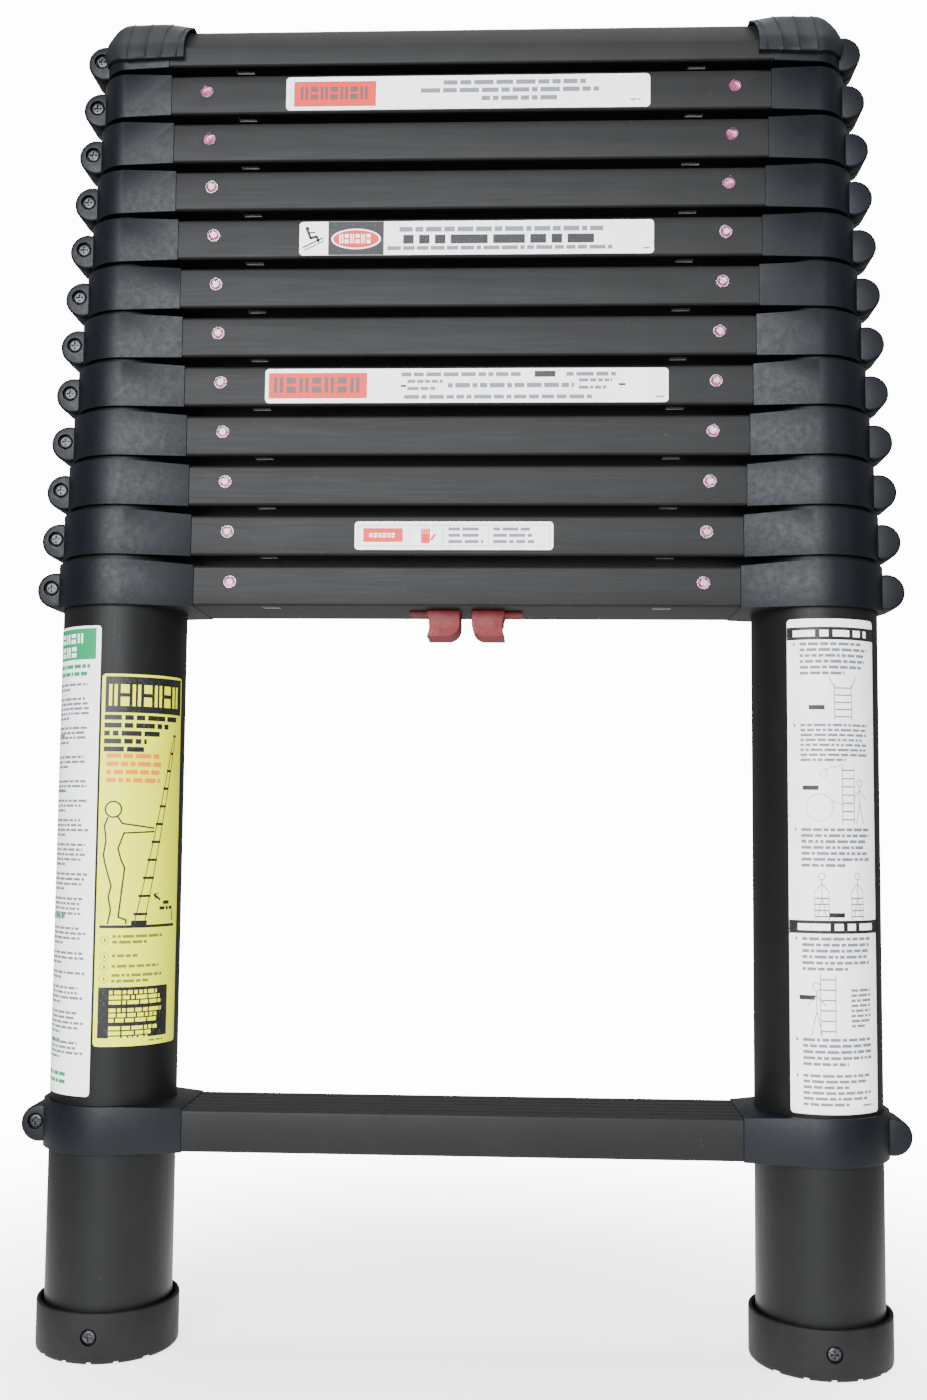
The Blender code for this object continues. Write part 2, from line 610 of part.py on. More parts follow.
def build_base(materials):
    base = body_empty("base", (0, 0, 0))
    aluminium = materials["painted_aluminium"]
    nylon = materials["collar_nylon"]
    steel = materials["screw_steel"]
    for side, direction in (("left", 1), ("right", -1)):
        place = (-direction * TUBE_AXIS_X, 0, 0)
        finish(base_tube(direction), "base_tube_" + side, aluminium, base, place)
        finish(foot(), "foot_" + side, materials["foot_rubber"], base, place)
        finish(foot_screw(), "foot_screw_" + side, steel, base, place)
    bottom_rung = rung_shell(rung_half_length(0) - GAP, BOTTOM_RUNG_Z, TREAD_GROOVES)
    finish(bottom_rung, "bottom_rung", aluminium, base)
    finish(lock_rung(), "lock_rung", aluminium, base)
    for name, z in (("bottom", BOTTOM_RUNG_Z), ("lock", LOCK_RUNG_Z)):
        has_pin = name == "lock"
        place_pair(collar_with_spigot(z, has_pin), sides(name + "_collar"), nylon, base)
        place_pair(clamp_screw(z), sides(name + "_clamp_screw"), steel, base)
    for side, direction in (("left", -1), ("right", 1)):
        place = (direction * WINDOW_X, 0, 0)
        finish(indicator_window(), "indicator_window_" + side, materials["window_clear"], base, place)
    return base


def build_releases(materials, base):
    middle = BUTTON_INNER_X + BUTTON_WIDTH / 2
    bodies = [body_empty("release_left", (-middle, 0, LOCK_RUNG_Z)),
              body_empty("release_right", (middle, 0, LOCK_RUNG_Z))]
    place_turned_pair(release_button(), sides("release_button"), materials["release_red"], bodies)
    place_turned_pair(lock_pin(), sides("lock_pin"), materials["pin_steel"], bodies)
    place_turned_pair(lock_spring(), sides("lock_spring"), materials["pin_steel"], [base, base])


def build_section(section, materials):
    """One moving section: a rung joined with its two clamp collars, and its pair of tubes."""
    z = rung_underside(section)
    body = body_empty("section_%d" % section, (0, 0, z))
    radius = tube_radius(section)
    step = rung_shell(rung_half_length(section), z)
    for side, turn_z in ((-1, 0.0), (1, math.pi)):
        part = collar(radius, z, SECTION_SIDES, RUNG_OVERLAP)
        combine(part, end_plug(radius, z), "UNION")
        combine(step, shift(part, (side * TUBE_AXIS_X, 0, 0), turn_z), "UNION", "MANIFOLD")
    finish(step, "rung_%d_with_collars" % (section + 2), materials["painted_aluminium"], body)
    names = ["section_%d_tube_%s" % (section, side) for side in ("left", "right")]
    place_pair(section_tube(section), names, materials["painted_aluminium"], body)
    return body


def main():
    clear_scene()
    materials = make_materials()
    base = build_base(materials)
    build_releases(materials, base)
    top_body = None
    for section in range(1, SECTIONS + 1):
        top_body = build_section(section, materials)
    place_pair(corner_cap(), sides("corner_cap"), materials["foot_rubber"], top_body)


main()
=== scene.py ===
"""Looks of the telescoping ladder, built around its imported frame.

Every piece is made in place, in metres, with its object at the origin. The ladder stands on z = 0
and faces -Y. Left pieces are made first. Most right ones are copies turned half a turn about Z.
"""
import math
import random

import bmesh
import bpy
from mathutils import Matrix, Vector


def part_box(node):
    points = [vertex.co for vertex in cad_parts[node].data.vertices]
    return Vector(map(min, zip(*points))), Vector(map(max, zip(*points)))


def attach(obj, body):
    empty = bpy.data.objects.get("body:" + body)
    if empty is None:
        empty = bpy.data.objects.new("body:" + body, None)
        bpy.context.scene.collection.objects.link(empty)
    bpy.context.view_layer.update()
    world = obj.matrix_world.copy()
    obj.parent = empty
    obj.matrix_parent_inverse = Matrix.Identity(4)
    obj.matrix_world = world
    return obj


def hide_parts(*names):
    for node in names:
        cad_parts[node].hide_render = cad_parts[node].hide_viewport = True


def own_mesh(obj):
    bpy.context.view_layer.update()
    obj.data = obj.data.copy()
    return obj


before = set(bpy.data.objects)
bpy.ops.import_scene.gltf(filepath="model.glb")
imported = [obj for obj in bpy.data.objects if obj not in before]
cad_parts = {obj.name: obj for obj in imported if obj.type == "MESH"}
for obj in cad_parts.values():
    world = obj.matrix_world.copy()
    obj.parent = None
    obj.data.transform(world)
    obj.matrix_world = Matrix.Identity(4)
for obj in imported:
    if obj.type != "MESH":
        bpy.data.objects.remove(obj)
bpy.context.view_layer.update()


# Camera, floor and light ---------------------------------------------------------------------
# The camera stands low in front of the ladder, a little right of its middle, and looks slightly up.
# The floor is plain and pale and fades into a white backdrop. Large soft panels give the light, and
# the room that the ladder reflects is dimmer than the backdrop.

EYE = Vector((0.0340, -0.8533, 0.2936))
TURN_LEFT = 0.0415             # radians
LOOK_UP = 0.0777
LEAN = 0.0085
FLOOR_RADIUS = 3.0
FLOOR_Z = -0.0002
FLOOR_GLOW = 2.0
FADE_START = 0.12              # distances from the ladder's middle between which the floor fades
FADE_END = 0.75
ROOM_GLOW = 0.40
BACKDROP_GLOW = 14.0
AIM = Vector((0.0, 0.0, 0.40))
LENS = 38.5                    # millimetres

bpy.ops.object.camera_add(location=EYE)
camera = bpy.context.object
camera.data.lens = LENS
camera.matrix_world = (Matrix.Translation(EYE) @ Matrix.Rotation(TURN_LEFT, 4, "Z")
                       @ Matrix.Rotation(math.pi / 2 + LOOK_UP, 4, "X") @ Matrix.Rotation(LEAN, 4, "Z"))
bpy.context.scene.camera = camera


def add_node(finish, kind, sockets, **settings):
    """A shader node with its settings made, and its sockets given values or joined to others."""
    node = finish.node_tree.nodes.new(kind)
    for setting, value in settings.items():
        setattr(node, setting, value)
    for socket, value in sockets.items():
        if isinstance(value, bpy.types.NodeSocket):
            finish.node_tree.links.new(value, node.inputs[socket])
        else:
            node.inputs[socket].default_value = value
    return node


def soft_light(name, place, width, height, power, color=(1.0, 1.0, 1.0)):
    """A rectangular light panel that faces the ladder."""
    bpy.ops.object.light_add(type="AREA", location=place)
    lamp = bpy.context.object
    lamp.name = name
    lamp.data.shape = "RECTANGLE"
    lamp.data.size = width
    lamp.data.size_y = height
    lamp.data.energy = power
    lamp.data.color = color
    lamp.rotation_euler = (AIM - Vector(place)).to_track_quat("-Z", "Y").to_euler()


bpy.ops.mesh.primitive_circle_add(vertices=96, radius=FLOOR_RADIUS, fill_type="NGON",
                                  location=(0, 0, FLOOR_Z))
floor = bpy.context.object
floor.name = "floor"
floor_paint = bpy.data.materials.new("floor_paint")
floor_paint.use_nodes = True
paint = floor_paint.node_tree.nodes["Principled BSDF"]
paint.inputs["Base Color"].default_value = (0.90, 0.90, 0.90, 1)
paint.inputs["Roughness"].default_value = 0.8
paint.inputs["Emission Color"].default_value = (1.0, 1.0, 1.0, 1)
paint.inputs["Emission Strength"].default_value = FLOOR_GLOW
spot = add_node(floor_paint, "ShaderNodeTexCoord", {})
away = add_node(floor_paint, "ShaderNodeVectorMath", {"Vector": spot.outputs["Object"]}, operation="LENGTH")
fade = add_node(floor_paint, "ShaderNodeMapRange",
                {"Value": away.outputs["Value"], "From Min": FADE_START, "From Max": FADE_END,
                 "To Min": 1.0, "To Max": 0.0}, interpolation_type="SMOOTHSTEP")
floor_paint.node_tree.links.new(fade.outputs["Result"], paint.inputs["Alpha"])
floor.data.materials.append(floor_paint)

soft_light("key_light", (-0.5, -2.6, 1.0), 2.0, 1.5, 225, (0.94, 0.97, 1.0))
soft_light("side_light", (1.9, -1.8, 0.9), 0.9, 1.6, 10)
soft_light("top_light", (0.0, 0.3, 2.6), 1.8, 1.4, 70)
world = bpy.data.worlds.new("studio")
world.use_nodes = True
background = world.node_tree.nodes["Background"]
background.inputs["Color"].default_value = (1.0, 1.0, 1.0, 1)
ray = add_node(world, "ShaderNodeLightPath", {})
glow = add_node(world, "ShaderNodeMapRange", {"Value": ray.outputs["Is Camera Ray"],
                                              "To Min": ROOM_GLOW, "To Max": BACKDROP_GLOW})
world.node_tree.links.new(glow.outputs["Result"], background.inputs["Strength"])
bpy.context.scene.world = world


# Base tubes ----------------------------------------------------------------------------------
# The two outermost tubes of the ladder carry it. They are extruded aluminium with a satin dark
# anodised skin, and each has a hole on its inner side that the lock pin enters.

TUBE_WALL = 0.0012
TUBE_SIDES = 96
HOLE_RADIUS = 0.0046
RIM_CHAMFER = 0.00025
LOCK_HOLE_DROP = 0.0114        # below the base tube's top
AXIS_X = sum(corner.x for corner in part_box("base_tube_right")) / 2
SIDES = (("left", -AXIS_X), ("right", AXIS_X))


def only(piece):
    """Makes one piece the only one selected, and the active one."""
    bpy.ops.object.select_all(action="DESELECT")
    piece.select_set(True)
    bpy.context.view_layer.objects.active = piece


def named(name):
    """Names the primitive just added and applies its place to its mesh."""
    piece = bpy.context.object
    piece.name = name
    piece.data.name = name
    only(piece)
    bpy.ops.object.transform_apply(location=True, rotation=True, scale=True)
    return piece


def middle(element):
    """The middle of a face's or an edge's corners."""
    return sum((corner.co for corner in element.verts), Vector()) / len(element.verts)


def edit(piece, kind, test):
    """Opens a piece in edit mode with only the faces or edges selected that pass the test."""
    only(piece)
    bpy.ops.object.mode_set(mode="EDIT")
    bpy.ops.mesh.select_mode(type=kind)
    bpy.ops.mesh.select_all(action="DESELECT")
    mesh = bmesh.from_edit_mesh(piece.data)
    for element in (mesh.faces if kind == "FACE" else mesh.edges):
        if test(element):
            element.select_set(True)
    bmesh.update_edit_mesh(piece.data)


def close_edit():
    bpy.ops.object.mode_set(mode="OBJECT")


def apply_modifier(piece, kind, **settings):
    only(piece)
    modifier = piece.modifiers.new("shape", kind)
    for setting, value in settings.items():
        setattr(modifier, setting, value)
    bpy.ops.object.modifier_apply(modifier=modifier.name)


def join_or_cut(piece, tool, operation="DIFFERENCE"):
    """Cuts a tool out of a piece, or joins it on, and removes the tool."""
    apply_modifier(piece, "BOOLEAN", object=tool, operation=operation, solver="MANIFOLD")
    bpy.data.objects.remove(tool)


def round_edges(piece, width, segments=3, degrees=40):
    apply_modifier(piece, "BEVEL", width=width, segments=segments, limit_method="ANGLE",
                   angle_limit=math.radians(degrees))


def copied(piece, name, offset=(0, 0, 0), turned=False):
    """A copy with its own mesh, moved by the offset after half a turn about Z if it is turned."""
    only(piece)
    bpy.ops.object.duplicate()
    if turned:
        bpy.ops.transform.rotate(value=math.pi, orient_axis="Z", center_override=(0, 0, 0))
    bpy.ops.transform.translate(value=offset)
    return named(name)


def fitted(piece, finish, body, slot, *nodes):
    """Gives a finished piece its smooth shading and material, and seats it on its body."""
    only(piece)
    bpy.ops.object.shade_smooth_by_angle(angle=math.radians(35))
    if finish is not None:
        piece.data.materials.clear()
        piece.data.materials.append(finish)
    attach(piece, body)
    if nodes:
        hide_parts(*nodes)


def cylinder(name, radius, low, high, sides=TUBE_SIDES, fill="NGON"):
    """An upright cylinder from the point low to the point high."""
    low, high = Vector(low), Vector(high)
    along = high - low
    turn = along.to_track_quat("Z", "Y").to_euler()
    bpy.ops.mesh.primitive_cylinder_add(vertices=sides, radius=radius, depth=along.length,
                                        end_fill_type=fill, location=(low + high) / 2, rotation=turn)
    return named(name)


def block(name, low, high):
    low, high = Vector(low), Vector(high)
    bpy.ops.mesh.primitive_cube_add(size=1, location=(low + high) / 2, scale=high - low)
    return named(name)


def make_tube(name, axis_x, radius, low, high, hole_z):
    """A tube with broken edges at both ends and a lock hole in its side towards the rungs."""
    tube = cylinder(name, radius, (axis_x, 0, low), (axis_x, 0, high), fill="NOTHING")
    apply_modifier(tube, "SOLIDIFY", thickness=TUBE_WALL, offset=-1)
    round_edges(tube, RIM_CHAMFER, 1)
    inner_x = axis_x - math.copysign(radius - 3 * TUBE_WALL, axis_x)
    outer_x = axis_x - math.copysign(radius + 3 * TUBE_WALL, axis_x)
    hole = cylinder("hole", HOLE_RADIUS, (inner_x, 0, hole_z), (outer_x, 0, hole_z), 24)
    join_or_cut(tube, hole)
    return tube


def new_finish(name, **sockets):
    """A material whose shader has some sockets set. An underscore in a name stands for a space."""
    finish = bpy.data.materials.new(name)
    finish.use_nodes = True
    shader = finish.node_tree.nodes["Principled BSDF"]
    for socket, value in sockets.items():
        shader.inputs[socket.replace("_", " ")].default_value = value
    return finish


def drive(finish, socket, source):
    finish.node_tree.links.new(source, finish.node_tree.nodes["Principled BSDF"].inputs[socket])


def grain(finish, scale, stretch=(1, 1, 1), detail=4.0, roughness=0.6):
    """Noise in the ladder's own coordinates, longer along the axes with a small stretch."""
    place = add_node(finish, "ShaderNodeTexCoord", {})
    drawn = add_node(finish, "ShaderNodeMapping", {"Vector": place.outputs["Object"], "Scale": stretch})
    noise = add_node(finish, "ShaderNodeTexNoise", {"Vector": drawn.outputs["Vector"], "Scale": scale,
                                                    "Detail": detail, "Roughness": roughness})
    return noise.outputs["Fac"]


def ranged(finish, pattern, start, end, low, high):
    """A pattern's values from start to end, spread from low to high and held there."""
    spread = add_node(finish, "ShaderNodeMapRange", {"Value": pattern, "From Min": start,
                                                     "From Max": end, "To Min": low, "To Max": high})
    return spread.outputs["Result"]


def ramp(finish, pattern, *stops):
    """Colours along a pattern. Each stop is a place from 0 to 1 and a colour."""
    scale = add_node(finish, "ShaderNodeValToRGB", {"Fac": pattern})
    points = scale.color_ramp.elements
    for index, (place, color) in enumerate(stops):
        point = points[index] if index < 2 else points.new(place)
        point.position = place
        point.color = (*color, 1.0)
    return scale.outputs["Color"]


def colour(finish, pattern, *stops):
    drive(finish, "Base Color", ramp(finish, pattern, *stops))


def roughen(finish, pattern, low, high):
    """Spreads the roughness from low to high over the middle of a pattern's values."""
    drive(finish, "Roughness", ranged(finish, pattern, 0.3, 0.7, low, high))


def mixed(finish, amount, first, second):
    """Two colours mixed by an amount. Each is a socket or a plain colour."""
    mix = add_node(finish, "ShaderNodeMix", {"Factor": amount}, data_type="RGBA", blend_type="MIX")
    for index, value in ((6, first), (7, second)):
        if isinstance(value, bpy.types.NodeSocket):
            finish.node_tree.links.new(value, mix.inputs[index])
        else:
            mix.inputs[index].default_value = (*value, 1.0)
    return mix.outputs[2]


def bumped(finish, height, depth):
    """Raises and lowers the surface by a height pattern, as deep as depth in metres."""
    bump = add_node(finish, "ShaderNodeBump", {"Height": height, "Distance": depth, "Strength": 1.0})
    drive(finish, "Normal", bump.outputs["Normal"])


def anodised(name, color, stretch):
    """Satin anodised aluminium: die lines along the extrusion, cloudy dye, and rare bright specks."""
    finish = new_finish(name, Metallic=0.1, Specular_IOR_Level=0.17)
    light = [channel * 1.25 for channel in color]
    dark = [channel * 0.80 for channel in color]
    lines = grain(finish, 900.0, stretch, 3.0)
    clouds = grain(finish, 28.0, detail=3.0)
    specks = ramp(finish, grain(finish, 620.0, detail=1.0), (0.80, (0, 0, 0)), (0.84, (1, 1, 1)))
    dye = ramp(finish, clouds, (0.3, dark), (0.7, light))
    lined = mixed(finish, ranged(finish, lines, 0.35, 0.65, 0.0, 0.30), dye, light)
    drive(finish, "Base Color", mixed(finish, specks, lined, (0.05, 0.05, 0.048)))
    roughen(finish, lines, 0.46, 0.53)
    bumped(finish, lines, 0.00002)
    return finish


tube_skin = anodised("anodised_tube", (0.0046, 0.0047, 0.0047), (1.0, 1.0, 0.03))

for side, axis_x in SIDES:
    node = "base_tube_" + side
    low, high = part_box(node)
    tube = make_tube("outer_tube_" + side, axis_x, (high.x - low.x) / 2, low.z, high.z,
                     high.z - LOCK_HOLE_DROP)
    fitted(tube, tube_skin, "base", "painted_aluminium", node)


# Nested tubes --------------------------------------------------------------------------------
# Each moving section hangs its rung on two tubes that slide inside the ones below. They have the
# same satin skin, and a pale nylon guide bush is pressed on each foot.

NESTED_HOLE_DROP = 0.3114      # lock hole below a nested tube's top
BUSH_HEIGHT = 0.014
BUSH_PROUD = 0.0003
BUSH_WALL = 0.0006
SECTIONS = 11

bush_nylon = new_finish("bush_nylon", Specular_IOR_Level=0.4)
colour(bush_nylon, grain(bush_nylon, 90.0), (0.3, (0.30, 0.30, 0.28)), (0.7, (0.42, 0.41, 0.38)))
roughen(bush_nylon, grain(bush_nylon, 400.0), 0.45, 0.6)
bumped(bush_nylon, grain(bush_nylon, 1500.0), 0.00003)

tube_radius = [(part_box("base_tube_right")[1].x - AXIS_X)]
tube_top = [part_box("base_tube_right")[1].z]
for section in range(1, SECTIONS + 1):
    low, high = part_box(f"section_{section}_tube_right")
    tube_radius.append(high.x - AXIS_X - BUSH_PROUD)
    tube_top.append(high.z)
    for side, axis_x in SIDES:
        node = f"section_{section}_tube_{side}"
        tube = make_tube(f"tube_{section}_{side}", axis_x, tube_radius[section], low.z, high.z,
                         high.z - NESTED_HOLE_DROP)
        fitted(tube, tube_skin, f"section_{section}", "painted_aluminium", node)
        bush = cylinder(f"guide_bush_{section}_{side}", tube_radius[section] + BUSH_PROUD,
                        (axis_x, 0, low.z), (axis_x, 0, low.z + BUSH_HEIGHT), fill="NOTHING")
        apply_modifier(bush, "SOLIDIFY", thickness=BUSH_WALL, offset=-1)
        round_edges(bush, RIM_CHAMFER, 1)
        fitted(bush, bush_nylon, f"section_{section}", "collar_nylon")


# Rungs ---------------------------------------------------------------------------------------
# Thirteen hollow rungs are cut from one extrusion with a grooved tread and anodised a warm dark
# grey. The top one has a front and a back that lean in above a crease. Two drain slots are punched
# near the front of each underside after anodising, so their cut walls are bare metal.

RUNG_HEIGHT = 0.0228
RUNG_DEPTH = 0.056
RUNG_WALL = 0.0018
RUNG_CORNER = 0.0016
COLLAR_REACH = 0.0100          # from a tube's wall to the end of its rung
SEAM = 0.0002                  # between a rung's end and its collar
GROOVES = 5
GROOVE_WIDTH = 0.0030
GROOVE_DEPTH = 0.0010
SLOT_INSET = 0.0226            # from a window to the middle of the slot beside it
SLOT_Y = -0.0210
SLOT_LENGTH = 0.0100
SLOT_WIDTH = 0.0060
CREASE = 0.0112                # above the top rung's underside
LEAN_BACK = 0.0042
WINDOW_INSET = 0.0205          # from a rung's end to the middle of its window
WINDOW_RISE = 0.0137
WINDOW_RADIUS = 0.0036
REACH_PAST = 0.004             # how far a cutter passes what it cuts

rung_skin = anodised("anodised_rung", (0.0056, 0.0055, 0.0055), (0.03, 1.0, 1.0))

bare_metal = new_finish("bare_metal", Metallic=0.5)
colour(bare_metal, grain(bare_metal, 500.0), (0.3, (0.42, 0.42, 0.41)), (0.7, (0.62, 0.62, 0.60)))
roughen(bare_metal, grain(bare_metal, 1800.0), 0.22, 0.42)


def rung_end(section):
    """Half the length of a section's rung. Section 0 is the base."""
    return AXIS_X - tube_radius[section] - COLLAR_REACH - SEAM


def lean_back(piece, z):
    """Cuts a piece at the top rung's crease, and leans its front and its back in above it."""
    edit(piece, "FACE", lambda face: True)
    bpy.ops.mesh.bisect(plane_co=(0, 0, z + CREASE), plane_no=(0, 0, 1))
    bpy.ops.mesh.mark_sharp()
    mesh = bmesh.from_edit_mesh(piece.data)
    for corner in mesh.verts:
        rise = max(0.0, corner.co.z - z - CREASE) / (RUNG_HEIGHT - CREASE)
        corner.co.y *= 1.0 - rise * LEAN_BACK / (RUNG_DEPTH / 2)
    bmesh.update_edit_mesh(piece.data)
    close_edit()


def make_rung(name, half_length, z, windows=True, creased=False):
    """The extrusion, hollow from end to end, with its grooves, drain slots and window holes."""
    half_depth = RUNG_DEPTH / 2
    top = z + RUNG_HEIGHT
    rung = block(name, (-half_length, -half_depth, z), (half_length, half_depth, top))
    edit(rung, "EDGE", lambda edge: abs(edge.verts[0].co.x - edge.verts[1].co.x) > half_length)
    bpy.ops.mesh.bevel(offset=RUNG_CORNER, segments=4)
    close_edit()
    if creased:
        lean_back(rung, z)
    edit(rung, "FACE", lambda face: abs(face.normal.x) > 0.9)
    bpy.ops.mesh.delete(type="FACE")
    close_edit()
    apply_modifier(rung, "SOLIDIFY", thickness=RUNG_WALL, offset=-1)
    run = half_length + REACH_PAST
    for i in range(GROOVES):
        y = (RUNG_DEPTH - (2 * LEAN_BACK if creased else 0)) * ((i + 1) / (GROOVES + 1) - 0.5)
        join_or_cut(rung, block("groove", (-run, y - GROOVE_WIDTH / 2, top - GROOVE_DEPTH),
                                (run, y + GROOVE_WIDTH / 2, top + REACH_PAST)))
    for side in (-1, 1):
        x = side * (half_length + SEAM - WINDOW_INSET - SLOT_INSET)
        slot = block("slot", (x - SLOT_LENGTH / 2, SLOT_Y - SLOT_WIDTH / 2, z - REACH_PAST),
                     (x + SLOT_LENGTH / 2, SLOT_Y + SLOT_WIDTH / 2, z + REACH_PAST))
        join_or_cut(rung, slot)
        if windows:
            x = side * (half_length + SEAM - WINDOW_INSET)
            join_or_cut(rung, cylinder("hole", WINDOW_RADIUS, (x, -half_depth - REACH_PAST, z + WINDOW_RISE),
                                       (x, -half_depth + REACH_PAST, z + WINDOW_RISE), 32))
    return rung


def bare_slots(rung, half_length, z):
    """Shows bare metal on the walls of a rung's drain slots."""
    rung.data.materials.clear()
    rung.data.materials.append(rung_skin)
    rung.data.materials.append(bare_metal)
    edit(rung, "FACE", lambda face: abs(face.normal.z) < 0.5 and middle(face).z < z + RUNG_WALL
         and abs(abs(middle(face).x) - half_length + WINDOW_INSET + SLOT_INSET) < SLOT_LENGTH / 2 + 2 * SEAM
         and abs(middle(face).y - SLOT_Y) < SLOT_WIDTH / 2 + SEAM)
    rung.active_material_index = 1
    bpy.ops.object.material_slot_assign()
    close_edit()


rungs = [("bottom_rung", "base", 0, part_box("bottom_rung")[0].z, "bottom_rung")]
rungs += [("lock_rung", "base", 0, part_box("lock_rung")[0].z, "lock_rung")]
for section in range(1, SECTIONS + 1):
    rungs.append((f"rung_{section + 2}", f"section_{section}", section,
                  tube_top[section] - RUNG_HEIGHT, f"rung_{section + 2}_with_collars"))

for name, body, section, z, node in rungs:
    rung = make_rung(name + "_extrusion", rung_end(section), z, name not in ("bottom_rung", "rung_13"),
                     name == "rung_13")
    bare_slots(rung, rung_end(section), z)
    fitted(rung, None, body, "painted_aluminium", node)


# Clamp collars -------------------------------------------------------------------------------
# Glass-filled nylon collars join each rung to its tubes: a band around the tube, a spigot end for
# the rung, and a split ear that a screw pulls together. Around the smaller tubes the band is an
# oval, so that every collar is nearly as deep as its rung.

COLLAR_WALL = 0.0032
COLLAR_HALF_DEPTH = 0.0262
COLLAR_HEIGHT = 0.0252
COLLAR_PROUD = 0.0003
COLLAR_END_RISE = 0.0004       # of a collar's top above its rung
COLLAR_ROUNDING = 0.0009
SPIGOT_LENGTH = 0.010
BORE_PLAY = 0.0002
EAR_RADIUS = 0.0102
EAR_OFFSET = 0.0038
EAR_RISE = 0.0110
EAR_HALF_DEPTH = 0.012
EAR_ROUNDING = 0.0014
SPLIT = 0.0018
SCREW_OFFSET = 0.0058          # from a tube's wall to its clamp screw
SCREW_RISE = 0.0122
COUNTERBORE_RADIUS = 0.0045
COUNTERBORE_DEPTH = 0.0027

collar_plastic = new_finish("moulded_nylon", Specular_IOR_Level=0.20)
cloud = grain(collar_plastic, 35.0, detail=3.0)
colour(collar_plastic, cloud, (0.3, (0.0008, 0.0017, 0.0036)), (0.7, (0.0017, 0.0029, 0.0054)))
roughen(collar_plastic, grain(collar_plastic, 300.0), 0.40, 0.52)
bumped(collar_plastic, grain(collar_plastic, 1300.0, detail=2.0), 0.00006)


def make_blank(name, radius, margin, low, high, corners):
    """An oval about the left tubes' axis and end corners towards +X, wrapped in one skin.

    A corner is an (x, half depth, z) point, and it stands on both sides of the middle.
    """
    ring = radius + COLLAR_WALL + margin
    blank = cylinder(name, ring, (-AXIS_X, 0, low), (-AXIS_X, 0, high))
    bpy.ops.object.mode_set(mode="EDIT")
    bpy.ops.mesh.select_all(action="SELECT")
    bpy.ops.transform.resize(value=(1.0, max(1.0, (COLLAR_HALF_DEPTH + margin) / ring), 1.0),
                             center_override=(-AXIS_X, 0, low))
    for x, half_depth, z in corners:
        bpy.ops.mesh.primitive_cube_add(size=1, location=(x - SEAM / 2, 0, z),
                                        scale=(SEAM, 2 * half_depth, SEAM))
    bpy.ops.mesh.select_all(action="SELECT")
    bpy.ops.mesh.convex_hull(join_triangles=True)
    bpy.ops.mesh.select_all(action="SELECT")
    bpy.ops.mesh.dissolve_limited(angle_limit=math.radians(1.0))
    close_edit()
    return blank


def make_collar(name, radius, z, creased=False):
    """A left collar about the left tubes' axis, with its rung side towards +X."""
    end_x = -AXIS_X + radius + COLLAR_REACH
    half_depth = RUNG_DEPTH / 2 + COLLAR_PROUD
    low = z - COLLAR_PROUD
    collar = make_blank(name, radius, 0.0, low, z + COLLAR_HEIGHT,
                        [(end_x, half_depth, low + SEAM / 2),
                         (end_x, half_depth, z + RUNG_HEIGHT + COLLAR_END_RISE - SEAM / 2)])
    if creased:
        lean_back(collar, z)
    round_edges(collar, COLLAR_ROUNDING)
    edit(collar, "FACE", lambda face: face.normal.x > 0.99 and middle(face).x > end_x - 0.0001)
    bpy.ops.mesh.inset(thickness=RUNG_WALL + COLLAR_PROUD)
    bpy.ops.mesh.extrude_region_move(TRANSFORM_OT_translate={"value": (SPIGOT_LENGTH, 0, 0)})
    close_edit()
    ear_x = -AXIS_X - radius - EAR_OFFSET
    ear_z = z + EAR_RISE
    ear = cylinder("ear", EAR_RADIUS, (ear_x, -EAR_HALF_DEPTH, ear_z), (ear_x, EAR_HALF_DEPTH, ear_z), 48)
    round_edges(ear, EAR_ROUNDING)
    join_or_cut(collar, ear, "UNION")
    top = z + COLLAR_HEIGHT + REACH_PAST
    join_or_cut(collar, cylinder("bore", radius + BORE_PLAY, (-AXIS_X, 0, z - REACH_PAST), (-AXIS_X, 0, top)))
    join_or_cut(collar, block("split", (ear_x - 2 * EAR_RADIUS, -SPLIT / 2, z - REACH_PAST),
                              (-AXIS_X - radius + COLLAR_WALL, SPLIT / 2, top)))
    screw_x = -AXIS_X - radius - SCREW_OFFSET
    seat_y = -EAR_HALF_DEPTH + COUNTERBORE_DEPTH
    join_or_cut(collar, cylinder("counterbore", COUNTERBORE_RADIUS,
                                 (screw_x, -2 * EAR_HALF_DEPTH, z + SCREW_RISE),
                                 (screw_x, seat_y, z + SCREW_RISE), 32))
    return collar


# Clamp screws --------------------------------------------------------------------------------
# A black oxide pan-head screw with a cross recess pulls each ear together. Its head sits in the
# ear's counterbore, in front on the left and behind on the right.

SCREW_HEAD_RADIUS = 0.0039
SCREW_HEAD_HEIGHT = 0.0021
RECESS_LENGTH = 0.0042
RECESS_WIDTH = 0.0011
RECESS_DEPTH = 0.0013

black_steel = new_finish("black_oxide_steel", Metallic=0.85)
wear = grain(black_steel, 900.0)
colour(black_steel, wear, (0.45, (0.022, 0.022, 0.024)), (0.75, (0.09, 0.09, 0.10)))
roughen(black_steel, wear, 0.28, 0.45)


def make_screw_head(name, x, y, z):
    """A pan head about a point on its seat, facing -Y."""
    head = cylinder(name, SCREW_HEAD_RADIUS, (x, y, z), (x, y - SCREW_HEAD_HEIGHT, z), 32)
    edit(head, "EDGE", lambda edge: all(corner.co.y < y - SCREW_HEAD_HEIGHT / 2 for corner in edge.verts))
    bpy.ops.mesh.bevel(offset=SCREW_HEAD_HEIGHT * 0.6, segments=4)
    close_edit()
    floor_y = y - SCREW_HEAD_HEIGHT + RECESS_DEPTH
    for width, height in ((RECESS_LENGTH, RECESS_WIDTH), (RECESS_WIDTH, RECESS_LENGTH)):
        join_or_cut(head, block("recess", (x - width / 2, y - REACH_PAST, z - height / 2),
                                (x + width / 2, floor_y, z + height / 2)))
    return head


